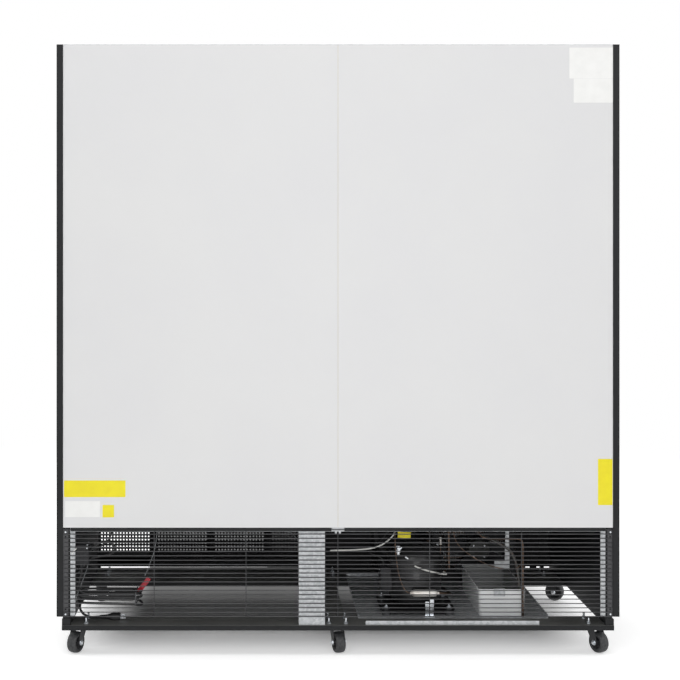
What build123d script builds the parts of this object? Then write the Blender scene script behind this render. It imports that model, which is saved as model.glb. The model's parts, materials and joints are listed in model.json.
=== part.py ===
from build123d import *
from math import cos, pi, radians, sin, tan
import os

# A three-door glass refrigerator on six casters, in millimetres.
# The doors face -Y, the grey rear panels face +Y, and the casters stand on Z = 0.
# The origin is on the floor, under the centre of the cabinet.

os.makedirs("parts", exist_ok=True)

# Overall size, without the cord
overall_width = 1829.0
overall_height = 1987.0
overall_depth = 813.0

# Sheet metal and clearances
skin = 1.5
base_sheet = 3.0
frame_sheet = 2.0
body_gap = 0.3
running_gap = 0.05
pin_sides = 12

# Insulated cabinet
side_return = 21.0
front_return = 13.5
side_panel_bottom = 127.5
cabin_bottom = 416.5
side_wall = 50.0
rear_wall = 61.5
floor_wall = 53.5
roof_wall = 54.0
beam_depth = 58.0
beam_height = 143.0
seam_gap = 0.8
ceiling_flange = 14.0

# Base frame and the side frames that carry the cabinet
base_inset = 16.5
base_setback = 2.5
base_top = 98.0
base_drop = 16.0
inner_drop = 12.0
rear_rail_depth = 97.0
front_rail_depth = 210.0
side_rail_width = 27.0
center_rail_width = 60.0
side_frame_flange = 22.0
upstand_height = 20.0
guard_setback = 8.5

# Rear posts and bracket
center_post_x = 84.5
center_post_width = 85.0
center_post_depth = 42.0
angle_leg = 16.0
angle_depth = 25.0
seam_bracket_width = 39.0
seam_bracket_height = 13.0
seam_lug_drop = 9.0

# Wire guard
wire = 3.0
stay_wire = 2.6
guard_wires = 21
guard_bottom = 127.0
wire_pitch = 14.1
stay_pitch = 299.0
stay_count = 5
guard_strap = 12.0
strap_inset = 15.0

# Kick panel
kick_bottom = 102.0
kick_clear = 2.5
kick_depth = 18.0
kick_end_gap = 14.5
vent_groups = 8
vent_pitch = 221.5
vent_length = 182.0
vent_height = 6.5
vent_rows = 6
vent_row_pitch = 12.2
vent_bottom = 167.0
control_width = 78.0
control_height = 32.0
control_depth = 60.0
control_z = 300.0
control_bezel = 3.0

# Header light box
header_height = 147.0
header_rim = 12.0
header_face = 3.0
header_lip = 1.0

# Doors
door_edge_gap = 8.0
door_bottom_gap = 7.5
door_thickness = 42.0
door_stand_off = 6.5
door_rail = 48.0
pane = 4.0
pane_space = 12.0
pane_bite = 12.0
bead_chamfer = 6.0
edge_chamfer = 2.0
gasket_inset = 14.0
gasket_width = 20.0
gasket_lip = 12.0
gasket_base = 2.2

# Handles
handle_length = 320.0
handle_reach = 29.5
handle_width = 20.0
handle_grip = 10.0
handle_foot = 26.0

# Hinges
pin_inset = 12.0
pin_diameter = 10.0
pin_length = 20.0
pin_end_gap = 0.5
hinge_arm = 4.0
hinge_leg = 3.0
hinge_leg_height = 18.0
hinge_width = 30.0
hinge_gap = 2.0
hinge_corner = 9.0

# Mullions and lamps
mullion_width = 84.0
mullion_depth = 50.0
mullion_groove = 6.0
lamp_width = 22.0
lamp_depth = 12.0
lamp_offset = 27.0
lamp_end_gap = 60.0

# Shelves and their supports
shelf_levels = 4
shelf_first = 690.0
shelf_pitch = 250.0
shelf_thickness = 6.0
shelf_slots = 6
shelf_bar = 6.0
shelf_edge_gap = 6.0
shelf_rear_gap = 8.0
shelf_front_lap = 8.0
standard_width = 24.0
standard_depth = 12.0
standard_bottom = 540.0
standard_over = 150.0
clip_width = 40.0
clip_reach = 20.0
clip_height = 10.0

# Evaporator, its cover and fans
cover_width = 1240.0
cover_height = 208.0
cover_reach = 275.0
cover_rear_gap = 4.0
coil_width = 1120.0
coil_depth = 160.0
coil_height = 180.0
coil_rear_gap = 20.0
coil_grooves = 8
groove = 6.0
evaporator_fan_x = 300.0
evaporator_fan_radius = 85.0
evaporator_fan_hub = 22.0
evaporator_fan_depth = 22.0
evaporator_motor_radius = 30.0
evaporator_motor_length = 40.0
fan_tip_gap = 4.0
fan_blades = 5
blade_thickness = 2.0
blade_pitch = 28.0
blade_share = 0.9
shaft_radius = 3.0
shaft_seat = 20.0
strap_width = 24.0
strap_gap = 10.0

# Condensing unit tray and strip
tray_side_gap = 168.0
tray_center_gap = 44.0
tray_rear_lap = 17.5
tray_front_lap = 87.5
tray_sheet = 2.0
tray_wall = 12.0
strip_left_inset = 47.0
strip_right_inset = 17.0
strip_guard_gap = 2.0
strip_height = 13.0
strip_foot = 25.0

# Compressor
compressor_inset_x = 201.0
compressor_inset_y = 106.5
compressor_radius = 92.0
compressor_bottom = 118.0
compressor_seam = 222.0
compressor_top = 322.0
compressor_foot = 3.0
dome_radius = 54.0
shell_lap = 3.0
cup_slope = 30.0
foot_spread_x = 105.0
foot_spread_y = 70.0
foot_corner = 20.0
mount_radius = 14.0
mount_taper = 8.0
mount_neck = 9.0
mount_height = 16.0
mount_cap = 5.0
terminal_width = 70.0
terminal_height = 80.0
terminal_depth = 40.0
terminal_sink = 12.0
terminal_corner = 8.0
terminal_z = 205.0

# Condenser and its fan
condenser_inset_x = 165.0
condenser_width = 300.0
condenser_height = 280.0
condenser_depth = 50.0
condenser_gap = 3.5
condenser_grooves = 10
shroud_depth = 38.0
condenser_fan_radius = 118.0
condenser_fan_hub = 26.0
condenser_fan_depth = 30.0
condenser_motor_radius = 39.0
condenser_motor_length = 55.0
shroud_gap = 10.0

# Evaporation pan
pan_inset_x = 71.0
pan_inset_y = 13.0
pan_width = 158.0
pan_length = 324.0
pan_height = 90.0
pan_wall = 2.0
pan_corner = 10.0
pan_draft = 2.0
pan_clip_inset = 87.5
pan_clip_width = 37.0
pan_clip_drop = 22.0

# Hanger strap beside the pan
hanger_inset_x = 29.0
hanger_inset_y = 151.5
hanger_width = 16.0
hanger_foot_width = 52.0
hanger_foot_z = 218.0
hanger_foot_height = 28.0

# Filter drier and lines
drier_offset_x = 21.0
drier_overhang = 5.5
drier_z = 183.0
drier_radius = 11.5
drier_length = 76.0
drier_cone = 14.0
drier_taper = 27.0
drier_neck = 7.0
line = 8.0
thin_line = 5.0
hose = 9.0
lead = 5.0
line_sides = 5

# Junction box and gland
box_reach = 59.0
box_width = 50.0
box_height = 60.0
box_bottom = 295.0
box_inset = 32.0
gland_inset = 31.0
gland_radius = 8.0
gland_height = 22.0
gland_nut = 7.0
gland_collar = 3.0

# Power cord
cord = 8.0
cord_sides = 6
hank_inset = 18.0
hank_length = 208.0
hank_radius = 33.0
hank_pitch = 8.6
hank_layer = 10.0
hank_top = 199.0
plug_inset_x = 113.0
plug_inset_y = 60.0
plug_length = 44.0
plug_width = 26.0
plug_height = 20.0
plug_corner = 5.0
plug_collar = 1.5
blade_length = 18.0
blade_spread = 6.5
blade_rise = 3.0
blade_width = 6.4
plug_blade = 1.6
earth_drop = 5.0
earth_radius = 2.4

# Casters
caster_inset = 64.5
rear_caster_inset = 43.0
front_caster_inset = 86.0
caster_plate_x = 78.0
caster_plate_y = 78.0
caster_plate = 3.0
caster_corner = 6.0
boss_radius = 24.0
boss_height = 12.2
boss_taper = 20.0
kingpin_radius = 6.0
kingpin_head = 9.0
kingpin_head_height = 3.0
crown = 5.0
crown_length = 46.0
wheel_diameter = 68.0
wheel_width = 32.0
wheel_sides = 24
tread_shoulder = 4.0
shoulder_taper = 40.0
axle_radius = 4.0
arm = 3.0
arm_gap = 0.6
arm_end = 10.0
trail = 20.0

# Planes that the pieces line up with
half_width = overall_width / 2
inside_x = half_width - skin
rear_y = overall_depth / 2
panel_y = rear_y - skin
foam_rear_y = panel_y - skin
door_front_y = -overall_depth / 2 + handle_reach
door_back_y = door_front_y + door_thickness
face_y = door_back_y + door_stand_off
guard_y = rear_y - guard_setback
cavity_x = half_width - side_wall
cavity_rear_y = rear_y - rear_wall
cavity_front_y = face_y + beam_depth
cover_front = cavity_rear_y - cover_reach
floor_z = cabin_bottom + floor_wall
ceiling_z = overall_height - roof_wall
opening_top = ceiling_z - beam_height
header_bottom = overall_height - header_height
header_front_y = door_front_y
header_back_y = face_y
door_bottom = cabin_bottom + door_bottom_gap
door_top = header_bottom - door_edge_gap
door_height = door_top - door_bottom
door_width = (overall_width - 4 * door_edge_gap) / 3
mullion_x = (door_width + door_edge_gap) / 2
mullion_back_y = face_y + mullion_depth
hinge_y = door_front_y + pin_inset
base_x = half_width - base_inset
web_x = base_x - side_rail_width
guard_strap_x = base_x - strap_inset
base_rear_y = rear_y - base_setback
base_front_y = face_y + base_setback
base_low = base_top - base_drop
rear_rail_y = base_rear_y - rear_rail_depth
front_rail_y = base_front_y + front_rail_depth
tray_left = -web_x + tray_side_gap
tray_right = -center_rail_width / 2 - tray_center_gap
tray_rear = rear_rail_y + tray_rear_lap
tray_front = front_rail_y - tray_front_lap
tray_top = base_top + tray_sheet
strip_left = tray_left + strip_left_inset
strip_right = tray_right - strip_right_inset
strip_rear = guard_y - strip_guard_gap
compressor_x = tray_right - compressor_inset_x
compressor_y = tray_rear - compressor_inset_y
condenser_x = tray_left + condenser_inset_x
pan_left = tray_left + pan_inset_x
pan_right = pan_left + pan_width
pan_rear = tray_rear - pan_inset_y
clip_x = pan_left + pan_clip_inset
hanger_x = pan_left + hanger_inset_x
hanger_y = pan_rear - hanger_inset_y
drier_x = compressor_x - drier_offset_x
drier_y = tray_rear + drier_overhang
box_y = guard_y - box_inset
gland_x = web_x - gland_inset
hank_left = web_x - hank_inset - hank_length
plug_x = web_x - plug_inset_x
plug_y = guard_y - plug_inset_y

# Each caster stands at X and Y, turned by an angle
caster_x = half_width - caster_inset
rear_caster_y = rear_rail_y + rear_caster_inset
front_caster_y = base_front_y + front_caster_inset
casters = {
    "rear_left": (-caster_x, rear_caster_y, 24.0),
    "rear_center": (0.0, rear_caster_y, 13.0),
    "rear_right": (caster_x, rear_caster_y, -22.0),
    "front_left": (-caster_x, front_caster_y, 60.0),
    "front_center": (0.0, front_caster_y, -35.0),
    "front_right": (caster_x, front_caster_y, 12.0),
}


def save(piece, label):
    """Label one finished piece and write it."""
    piece.part.label = label
    export_step(piece.part, f"parts/{label}.step")


def save_group(pieces, label):
    """Write several separate solids as one named group."""
    group = Compound(label=label, children=[piece.part for piece in pieces])
    export_step(group, f"parts/{label}.step")


def slab(x, y, z, mode=Mode.ADD):
    """A plate between two values on each axis, in the part being built."""
    with Locations(((x[0] + x[1]) / 2, (y[0] + y[1]) / 2, (z[0] + z[1]) / 2)):
        Box(abs(x[1] - x[0]), abs(y[1] - y[0]), abs(z[1] - z[0]), mode=mode)


def upright(y):
    """The plane across the cabinet at y, with X to the right and Z up; it extrudes to the front."""
    return Plane.XZ.offset(-y)


def bend_radii(points):
    """One radius for each inner point: 0.45 of the shorter run over the tangent of half the turn."""
    radii = []
    for before, here, after in zip(points, points[1:], points[2:]):
        run_in = Vector(here) - Vector(before)
        run_out = Vector(after) - Vector(here)
        turn = radians(run_in.get_angle(run_out))
        radii.append(0.45 * min(run_in.length, run_out.length) / tan(turn / 2))
    return radii


def tube(points, diameter, sides):
    """A tube along straight runs joined by tangent arcs, in the part being built."""
    with BuildLine() as route:
        FilletPolyline(*points, radius=bend_radii(points))
    start = Vector(points[0])
    with BuildSketch(Plane(origin=start, z_dir=Vector(points[1]) - start)) as section:
        RegularPolygon(diameter / 2, sides)
    sweep(section.sketch, path=route.wire())


# Base frame: two channel rails, two side frames that carry the cabinet, and a centre rail
def channel_points(outer, inner):
    """Channel section with its lips down: the outer lip is the deeper one."""
    inward = 1 if inner > outer else -1
    return [
        (outer, base_top),
        (outer, base_low),
        (outer + inward * base_sheet, base_low),
        (outer + inward * base_sheet, base_top - base_sheet),
        (inner - inward * base_sheet, base_top - base_sheet),
        (inner - inward * base_sheet, base_top - inner_drop),
        (inner, base_top - inner_drop),
        (inner, base_top),
    ]


with BuildPart() as rear_rail:
    with BuildSketch(Plane.YZ):
        with BuildLine():
            Polyline(*channel_points(base_rear_y, rear_rail_y), close=True)
        make_face()
    extrude(amount=base_x, both=True)

with BuildPart() as front_rail:
    with BuildSketch(Plane.YZ):
        with BuildLine():
            Polyline(*channel_points(base_front_y, front_rail_y), close=True)
        make_face()
    extrude(amount=base_x, both=True)

with BuildPart() as center_rail:
    half_rail = center_rail_width / 2
    with BuildSketch(upright(rear_rail_y)):
        with Locations((0, base_top - base_drop / 2)):
            Rectangle(center_rail_width, base_drop)
        with Locations((0, base_top - base_sheet - base_drop / 2)):
            Rectangle(center_rail_width - 2 * base_sheet, base_drop, mode=Mode.SUBTRACT)
    extrude(amount=rear_rail_y - front_rail_y)


def build_side_frame(side):
    """One welded side frame: a tall channel with outward flanges, its foot and its upstand."""
    flange_x = web_x + side_frame_flange
    outline = [
        (side * web_x, face_y),
        (side * flange_x, face_y),
        (side * flange_x, face_y + frame_sheet),
        (side * (web_x + frame_sheet), face_y + frame_sheet),
        (side * (web_x + frame_sheet), guard_y - frame_sheet),
        (side * flange_x, guard_y - frame_sheet),
        (side * flange_x, guard_y),
        (side * web_x, guard_y),
    ]
    lip_x = base_x - base_sheet
    with BuildPart() as side_frame:
        with BuildSketch(Plane.XY.offset(base_top)):
            with BuildLine():
                Polyline(*outline, close=True)
            make_face()
        extrude(amount=cabin_bottom - base_top)
        slab(
            (side * web_x, side * base_x),
            (front_rail_y, rear_rail_y),
            (base_top - base_sheet, base_top),
        )
        slab(
            (side * lip_x, side * base_x),
            (front_rail_y, rear_rail_y),
            (base_low, base_top),
        )
        slab(
            (side * lip_x, side * base_x),
            (base_front_y, guard_y + base_sheet),
            (base_top, base_top + upstand_height),
        )
        slab(
            (side * web_x, side * base_x),
            (guard_y, guard_y + base_sheet),
            (base_top, base_top + upstand_height),
        )
    return side_frame


save_group(
    [rear_rail, front_rail, center_rail, build_side_frame(-1), build_side_frame(1)],
    "base_frame",
)


# Side panels: one folded sheet each, with a rear and a front return
def build_side_panel(side):
    """The outer skin, returned at the rear over the grey panel and at the front round the frame."""
    outline = [
        (side * half_width, face_y),
        (side * (half_width - front_return), face_y),
        (side * (half_width - front_return), face_y + skin),
        (side * inside_x, face_y + skin),
        (side * inside_x, panel_y),
        (side * (half_width - side_return), panel_y),
        (side * (half_width - side_return), rear_y),
        (side * half_width, rear_y),
    ]
    with BuildPart() as side_panel:
        with BuildSketch(Plane.XY.offset(side_panel_bottom)):
            with BuildLine():
                Polyline(*outline, close=True)
            make_face()
        extrude(amount=overall_height - side_panel_bottom)
    return side_panel


save(build_side_panel(-1), "side_panel_left")
save(build_side_panel(1), "side_panel_right")


# Rear panels: they meet at the centre seam and pass behind the side returns
def build_rear_panel(side):
    """One flat grey panel, from the ceiling of the machine bay to the top panel."""
    middle = side * (seam_gap / 2 + inside_x) / 2
    with BuildPart() as rear_panel:
        with BuildSketch(upright(panel_y)):
            with Locations((middle, (cabin_bottom + overall_height - skin) / 2)):
                Rectangle(inside_x - seam_gap / 2, overall_height - skin - cabin_bottom)
        extrude(amount=skin)
    return rear_panel


save(build_rear_panel(-1), "rear_panel_left")
save(build_rear_panel(1), "rear_panel_right")

with BuildPart() as top_panel:
    slab((-inside_x, inside_x), (face_y + skin, panel_y), (overall_height - skin, overall_height))
save(top_panel, "top_panel")

with BuildPart() as bay_ceiling:
    with BuildSketch(Plane.YZ):
        with BuildLine():
            Polyline(
                (face_y, cabin_bottom),
                (guard_y - skin, cabin_bottom),
                (guard_y - skin, cabin_bottom - ceiling_flange),
                (guard_y, cabin_bottom - ceiling_flange),
                (guard_y, cabin_bottom),
                (foam_rear_y, cabin_bottom),
                (foam_rear_y, cabin_bottom + skin),
                (face_y, cabin_bottom + skin),
                close=True,
            )
        make_face()
    extrude(amount=web_x - angle_leg - body_gap, both=True)
    slab((-inside_x, inside_x), (face_y + skin, foam_rear_y), (cabin_bottom, cabin_bottom + skin))
save(bay_ceiling, "bay_ceiling")

# Foam body: one block with the cold room and the door opening cut out of it
foam_low = cabin_bottom + skin
with BuildPart() as insulation:
    slab(
        (-inside_x, inside_x),
        (face_y + skin, foam_rear_y),
        (foam_low, overall_height - skin),
    )
    slab(
        (-cavity_x - skin, cavity_x + skin),
        (cavity_front_y - skin, cavity_rear_y + skin),
        (floor_z - skin, ceiling_z + skin),
        mode=Mode.SUBTRACT,
    )
    slab(
        (-cavity_x - skin, cavity_x + skin),
        (face_y, cavity_front_y),
        (floor_z - skin, opening_top + skin),
        mode=Mode.SUBTRACT,
    )
save(insulation, "insulation")

# Inner liner: a thin shell on the foam, with a front flange that the gaskets seal on
liner_flange_x = half_width - front_return
with BuildPart() as inner_liner:
    slab(
        (-cavity_x - skin, cavity_x + skin),
        (cavity_front_y - skin, cavity_rear_y + skin),
        (floor_z - skin, ceiling_z + skin),
    )
    slab(
        (-cavity_x - skin, cavity_x + skin),
        (face_y, cavity_front_y),
        (floor_z - skin, opening_top + skin),
    )
    slab(
        (-liner_flange_x, liner_flange_x),
        (face_y, face_y + skin),
        (foam_low, overall_height - skin),
    )
    slab(
        (-cavity_x, cavity_x),
        (cavity_front_y, cavity_rear_y),
        (floor_z, ceiling_z),
        mode=Mode.SUBTRACT,
    )
    slab(
        (-cavity_x, cavity_x),
        (face_y, cavity_front_y),
        (floor_z, opening_top),
        mode=Mode.SUBTRACT,
    )
save(inner_liner, "inner_liner")

# Galvanised pieces at the rear: centre post, two corner angles and the seam bracket
with BuildPart() as center_post:
    half_post = center_post_width / 2
    with BuildSketch(Plane.XY.offset(base_top)):
        with Locations((center_post_x, guard_y - center_post_depth / 2)):
            Rectangle(center_post_width, center_post_depth)
            with Locations((0, -skin)):
                Rectangle(
                    center_post_width - 2 * skin,
                    center_post_depth,
                    mode=Mode.SUBTRACT,
                )
    extrude(amount=cabin_bottom - base_top)
    with Locations((center_post_x, guard_y - skin / 2, cabin_bottom - ceiling_flange / 2)):
        Box(center_post_width, skin, ceiling_flange, mode=Mode.SUBTRACT)


def build_corner_angle(side):
    """A zinc angle inside the rear edge of a side frame."""
    outline = [
        (side * web_x, guard_y),
        (side * (web_x - angle_leg), guard_y),
        (side * (web_x - angle_leg), guard_y - skin),
        (side * (web_x - skin), guard_y - skin),
        (side * (web_x - skin), guard_y - angle_depth),
        (side * web_x, guard_y - angle_depth),
    ]
    with BuildPart() as angle:
        with BuildSketch(Plane.XY.offset(side_panel_bottom)):
            with BuildLine():
                Polyline(*outline, close=True)
            make_face()
        extrude(amount=cabin_bottom - side_panel_bottom)
    return angle


with BuildPart() as seam_bracket:
    half_bracket = seam_bracket_width / 2
    lug = seam_bracket_width / 4
    low = cabin_bottom - seam_bracket_height
    with BuildSketch(upright(guard_y + skin)):
        with BuildLine():
            Polyline(
                (-half_bracket, cabin_bottom),
                (-half_bracket, low),
                (-lug, low),
                (-lug, low - seam_lug_drop),
                (-lug / 3, low - seam_lug_drop),
                (-lug / 3, low),
                (lug / 3, low),
                (lug / 3, low - seam_lug_drop),
                (lug, low - seam_lug_drop),
                (lug, low),
                (half_bracket, low),
                (half_bracket, cabin_bottom),
                close=True,
            )
        make_face()
    extrude(amount=skin)

save_group(
    [center_post, build_corner_angle(-1), build_corner_angle(1), seam_bracket],
    "rear_posts",
)

# Wire guard: level wires on upright stays, with a strap at each end
stay_y = guard_y + stay_wire / 2
wire_y = guard_y + stay_wire + wire / 2
guard_height = (guard_wires - 1) * wire_pitch
hex_wire = wire / 2 / cos(pi / 6)
guard_pieces = []
for row in range(guard_wires):
    with BuildPart() as level_wire:
        with BuildSketch(Plane.YZ):
            with Locations((wire_y, guard_bottom + row * wire_pitch)):
                RegularPolygon(hex_wire, 6, rotation=30)
        extrude(amount=guard_strap_x + guard_strap / 2, both=True)
    guard_pieces.append(level_wire)
with BuildPart() as stays:
    stay_low = guard_bottom - wire / 2
    with BuildSketch(Plane.XY.offset(stay_low)):
        for number in range(stay_count):
            stay_x = (number - (stay_count - 1) / 2) * stay_pitch
            if stay_x == 0:
                continue
            with Locations((stay_x, stay_y)):
                Rectangle(stay_wire, stay_wire)
        with Locations((guard_strap_x, stay_y), (-guard_strap_x, stay_y)):
            Rectangle(guard_strap, stay_wire)
    extrude(amount=guard_height + wire)
    # The middle stay stops under the seam bracket
    middle_top = cabin_bottom - seam_bracket_height - seam_lug_drop - body_gap
    with BuildSketch(Plane.XY.offset(stay_low)):
        with Locations((0, stay_y)):
            Rectangle(stay_wire, stay_wire)
    extrude(amount=middle_top - stay_low)
guard_pieces.append(stays)
save_group(guard_pieces, "wire_guard")

# Kick panel: a shallow tray with vent slots, and the blank controller set in it
kick_top = cabin_bottom - kick_clear
kick_x = half_width - kick_end_gap
kick_front_y = face_y - kick_depth
control_x = 0.0
with BuildPart() as kick_panel:
    slab((-kick_x, kick_x), (kick_front_y, face_y), (kick_bottom, kick_top))
    slab(
        (-kick_x + skin, kick_x - skin),
        (kick_front_y + skin, face_y),
        (kick_bottom + skin, kick_top - skin),
        mode=Mode.SUBTRACT,
    )
    vent_middle = vent_bottom + (vent_rows - 1) * vent_row_pitch / 2
    with BuildSketch(upright(kick_front_y + skin)):
        with Locations((0, vent_middle)):
            with GridLocations(vent_pitch, vent_row_pitch, vent_groups, vent_rows):
                Rectangle(vent_length, vent_height)
        with Locations((control_x, control_z)):
            Rectangle(control_width, control_height)
    extrude(amount=skin, mode=Mode.SUBTRACT)
with BuildPart() as controller:
    with BuildSketch(upright(kick_front_y + control_depth)):
        with Locations((control_x, control_z)):
            Rectangle(control_width - 2 * body_gap, control_height - 2 * body_gap)
    extrude(amount=control_depth)
    with BuildSketch(upright(kick_front_y)):
        with Locations((control_x, control_z)):
            Rectangle(control_width + 2 * control_bezel, control_height + 2 * control_bezel)
    extrude(amount=frame_sheet)
save_group([kick_panel, controller], "kick_panel")

# Header light box, open at the front behind its lit face
header_depth = header_back_y - header_front_y
header_middle = header_bottom + header_height / 2
face_width = overall_width - 2 * header_rim
face_height = header_height - 2 * header_rim
with BuildPart() as header_box:
    slab(
        (-half_width, half_width),
        (header_front_y, header_back_y),
        (header_bottom, overall_height),
    )
    with BuildSketch(upright(header_back_y - skin)):
        with Locations((0, header_middle)):
            Rectangle(face_width, face_height)
    extrude(amount=header_depth, mode=Mode.SUBTRACT)
    outer_edges = header_box.edges().filter_by(Axis.X).group_by(Axis.Y)[0]
    chamfer(outer_edges.sort_by(Axis.Z)[-1], edge_chamfer)
save(header_box, "header_box")

# Lamp covers: the header's lit face and one light strip on the back of each mullion
with BuildPart() as header_cover:
    with BuildSketch(upright(header_front_y + header_lip + header_face)):
        with Locations((0, header_middle)):
            Rectangle(face_width, face_height)
    extrude(amount=header_face)


def build_lamp(side):
    """A light strip with a rounded cover, on the back of a mullion."""
    lamp_x = side * (mullion_x - lamp_offset)
    length = opening_top - floor_z - 2 * lamp_end_gap
    with BuildPart() as lamp:
        with BuildSketch(Plane.XY.offset(floor_z + lamp_end_gap)):
            with Locations((lamp_x, mullion_back_y + lamp_depth / 2)):
                Rectangle(lamp_width, lamp_depth)
        extrude(amount=length)
        rear_edges = lamp.edges().filter_by(Axis.Z).group_by(Axis.Y)[-1]
        chamfer(rear_edges, lamp_depth / 3)
    return lamp


save_group([header_cover, build_lamp(-1), build_lamp(1)], "lamp_covers")


# Mullions: one extrusion each, with a cable groove in the rear face
def build_mullion(side):
    """One mullion between sill and beam."""
    with BuildPart() as mullion:
        with BuildSketch(Plane.XY.offset(floor_z)):
            with Locations((side * mullion_x, face_y + mullion_depth / 2)):
                Rectangle(mullion_width, mullion_depth)
            with Locations((side * (mullion_x + lamp_offset), mullion_back_y)):
                Rectangle(2 * mullion_groove, 2 * mullion_groove, mode=Mode.SUBTRACT)
        extrude(amount=opening_top - floor_z)
    return mullion


save_group([build_mullion(-1), build_mullion(1)], "mullions")


# Hinge brackets: an angle on the front flange with a fixed pin, below and above each door
def build_hinge(pivot_x, end):
    """One bracket; end is 1 for the lower one, whose pin points up, and -1 for the upper one."""
    door_edge = door_bottom if end == 1 else door_top
    arm_near = door_edge - end * hinge_gap
    arm_far = arm_near - end * hinge_arm
    leg_end = arm_far + end * (hinge_arm + hinge_leg_height)
    hinge_x = (pivot_x - hinge_width / 2, pivot_x + hinge_width / 2)
    with BuildPart() as hinge:
        slab(hinge_x, (door_front_y, face_y), (arm_near, arm_far))
        front_corners = hinge.edges().filter_by(Axis.Z).group_by(Axis.Y)[0]
        chamfer(front_corners, hinge_corner)
        slab(hinge_x, (face_y - hinge_leg, face_y), (arm_far, leg_end))
        with BuildSketch(Plane.XY.offset(min(arm_near, door_edge + end * pin_length))):
            with Locations((pivot_x, hinge_y)):
                RegularPolygon(pin_diameter / 2, pin_sides)
        extrude(amount=hinge_gap + pin_length)
    return hinge


door_lefts = {
    "left": -half_width + door_edge_gap,
    "center": -door_width / 2,
    "right": half_width - door_edge_gap - door_width,
}
door_hinge_sides = {"left": -1, "center": -1, "right": 1}
door_middles = {name: left + door_width / 2 for name, left in door_lefts.items()}
pivots = {
    name: door_middles[name] + side * (door_width / 2 - pin_inset)
    for name, side in door_hinge_sides.items()
}
save_group(
    [build_hinge(pivot_x, end) for pivot_x in pivots.values() for end in (1, -1)],
    "hinge_brackets",
)


# Doors
def build_door_frame(middle, pivot_x):
    """The door's ring of rails, with two pane grooves, a bevelled bead and a bore at each end."""
    center_z = (door_bottom + door_top) / 2
    sight_width = door_width - 2 * door_rail
    sight_height = door_height - 2 * door_rail
    glass_back = door_back_y - (door_thickness - 2 * pane - pane_space) / 2
    with BuildPart() as door_frame:
        with BuildSketch(upright(door_back_y)):
            with Locations((middle, center_z)):
                Rectangle(door_width, door_height)
                Rectangle(sight_width, sight_height, mode=Mode.SUBTRACT)
        extrude(amount=door_thickness)
        front_edges = door_frame.edges().group_by(Axis.Y)[0]
        sight_edges = front_edges.filter_by(
            lambda edge: abs(edge.center().X - middle) < door_width / 2 - 1
            and abs(edge.center().Z - center_z) < door_height / 2 - 1
        )
        chamfer(sight_edges, bead_chamfer)
        rim_edges = door_frame.edges().group_by(Axis.Y)[0].filter_by(
            lambda edge: abs(edge.center().X - middle) > door_width / 2 - 1
            or abs(edge.center().Z - center_z) > door_height / 2 - 1
        )
        chamfer(rim_edges, edge_chamfer)
        for groove_back in (glass_back, glass_back - pane - pane_space):
            with BuildSketch(upright(groove_back)):
                with Locations((middle, center_z)):
                    Rectangle(sight_width + 2 * pane_bite, sight_height + 2 * pane_bite)
            extrude(amount=pane, mode=Mode.SUBTRACT)
        bore_depth = pin_length + pin_end_gap
        for low_end in (door_bottom, door_top - bore_depth):
            with BuildSketch(Plane.XY.offset(low_end)):
                with Locations((pivot_x, hinge_y)):
                    RegularPolygon(pin_diameter / 2 + running_gap, pin_sides, major_radius=False)
            extrude(amount=bore_depth, mode=Mode.SUBTRACT)
    return door_frame


def build_door_glass(middle):
    """Two panes, each held in its groove."""
    center_z = (door_bottom + door_top) / 2
    width = door_width - 2 * door_rail + 2 * pane_bite
    height = door_height - 2 * door_rail + 2 * pane_bite
    glass_back = door_back_y - (door_thickness - 2 * pane - pane_space) / 2
    with BuildPart() as door_glass:
        for pane_back in (glass_back, glass_back - pane - pane_space):
            with BuildSketch(upright(pane_back)):
                with Locations((middle, center_z)):
                    Rectangle(width, height)
            extrude(amount=pane)
    return door_glass


def build_door_gasket(middle):
    """The magnetic gasket: a flat base on the door and a narrower lip towards the cabinet."""
    center_z = (door_bottom + door_top) / 2
    outer_width = door_width - 2 * gasket_inset
    outer_height = door_height - 2 * gasket_inset
    lip_inset = (gasket_width - gasket_lip) / 2
    lip_depth = door_stand_off - body_gap
    with BuildPart() as door_gasket:
        with BuildSketch(upright(door_back_y + gasket_base)):
            with Locations((middle, center_z)):
                Rectangle(outer_width, outer_height)
                Rectangle(
                    outer_width - 2 * gasket_width,
                    outer_height - 2 * gasket_width,
                    mode=Mode.SUBTRACT,
                )
        extrude(amount=gasket_base)
        with BuildSketch(upright(door_back_y + lip_depth)):
            with Locations((middle, center_z)):
                Rectangle(outer_width - 2 * lip_inset, outer_height - 2 * lip_inset)
                Rectangle(
                    outer_width - 2 * (gasket_width - lip_inset),
                    outer_height - 2 * (gasket_width - lip_inset),
                    mode=Mode.SUBTRACT,
                )
        extrude(amount=lip_depth - gasket_base)
    return door_gasket


def build_door_handle(middle, hinge_side):
    """A bow handle: two feet on the door and a grip between them, from one side profile."""
    handle_x = middle - hinge_side * (door_width / 2 - door_rail / 2)
    center_z = (door_bottom + door_top) / 2
    top = center_z + handle_length / 2
    bottom = center_z - handle_length / 2
    grip_y = door_front_y - handle_reach
    gap_y = grip_y + handle_grip
    slope = handle_foot / 2
    with BuildPart() as door_handle:
        with BuildSketch(Plane.YZ.offset(handle_x)):
            with BuildLine():
                Polyline(
                    (door_front_y, bottom),
                    (grip_y, bottom + slope),
                    (grip_y, top - slope),
                    (door_front_y, top),
                    (door_front_y, top - handle_foot),
                    (gap_y, top - handle_foot - slope),
                    (gap_y, bottom + handle_foot + slope),
                    (door_front_y, bottom + handle_foot),
                    close=True,
                )
            make_face()
        extrude(amount=handle_width / 2, both=True)
        grip_edges = door_handle.edges().filter_by(Axis.Z).group_by(Axis.Y)[0]
        fillet(grip_edges, handle_grip / 3)
    return door_handle


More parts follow.
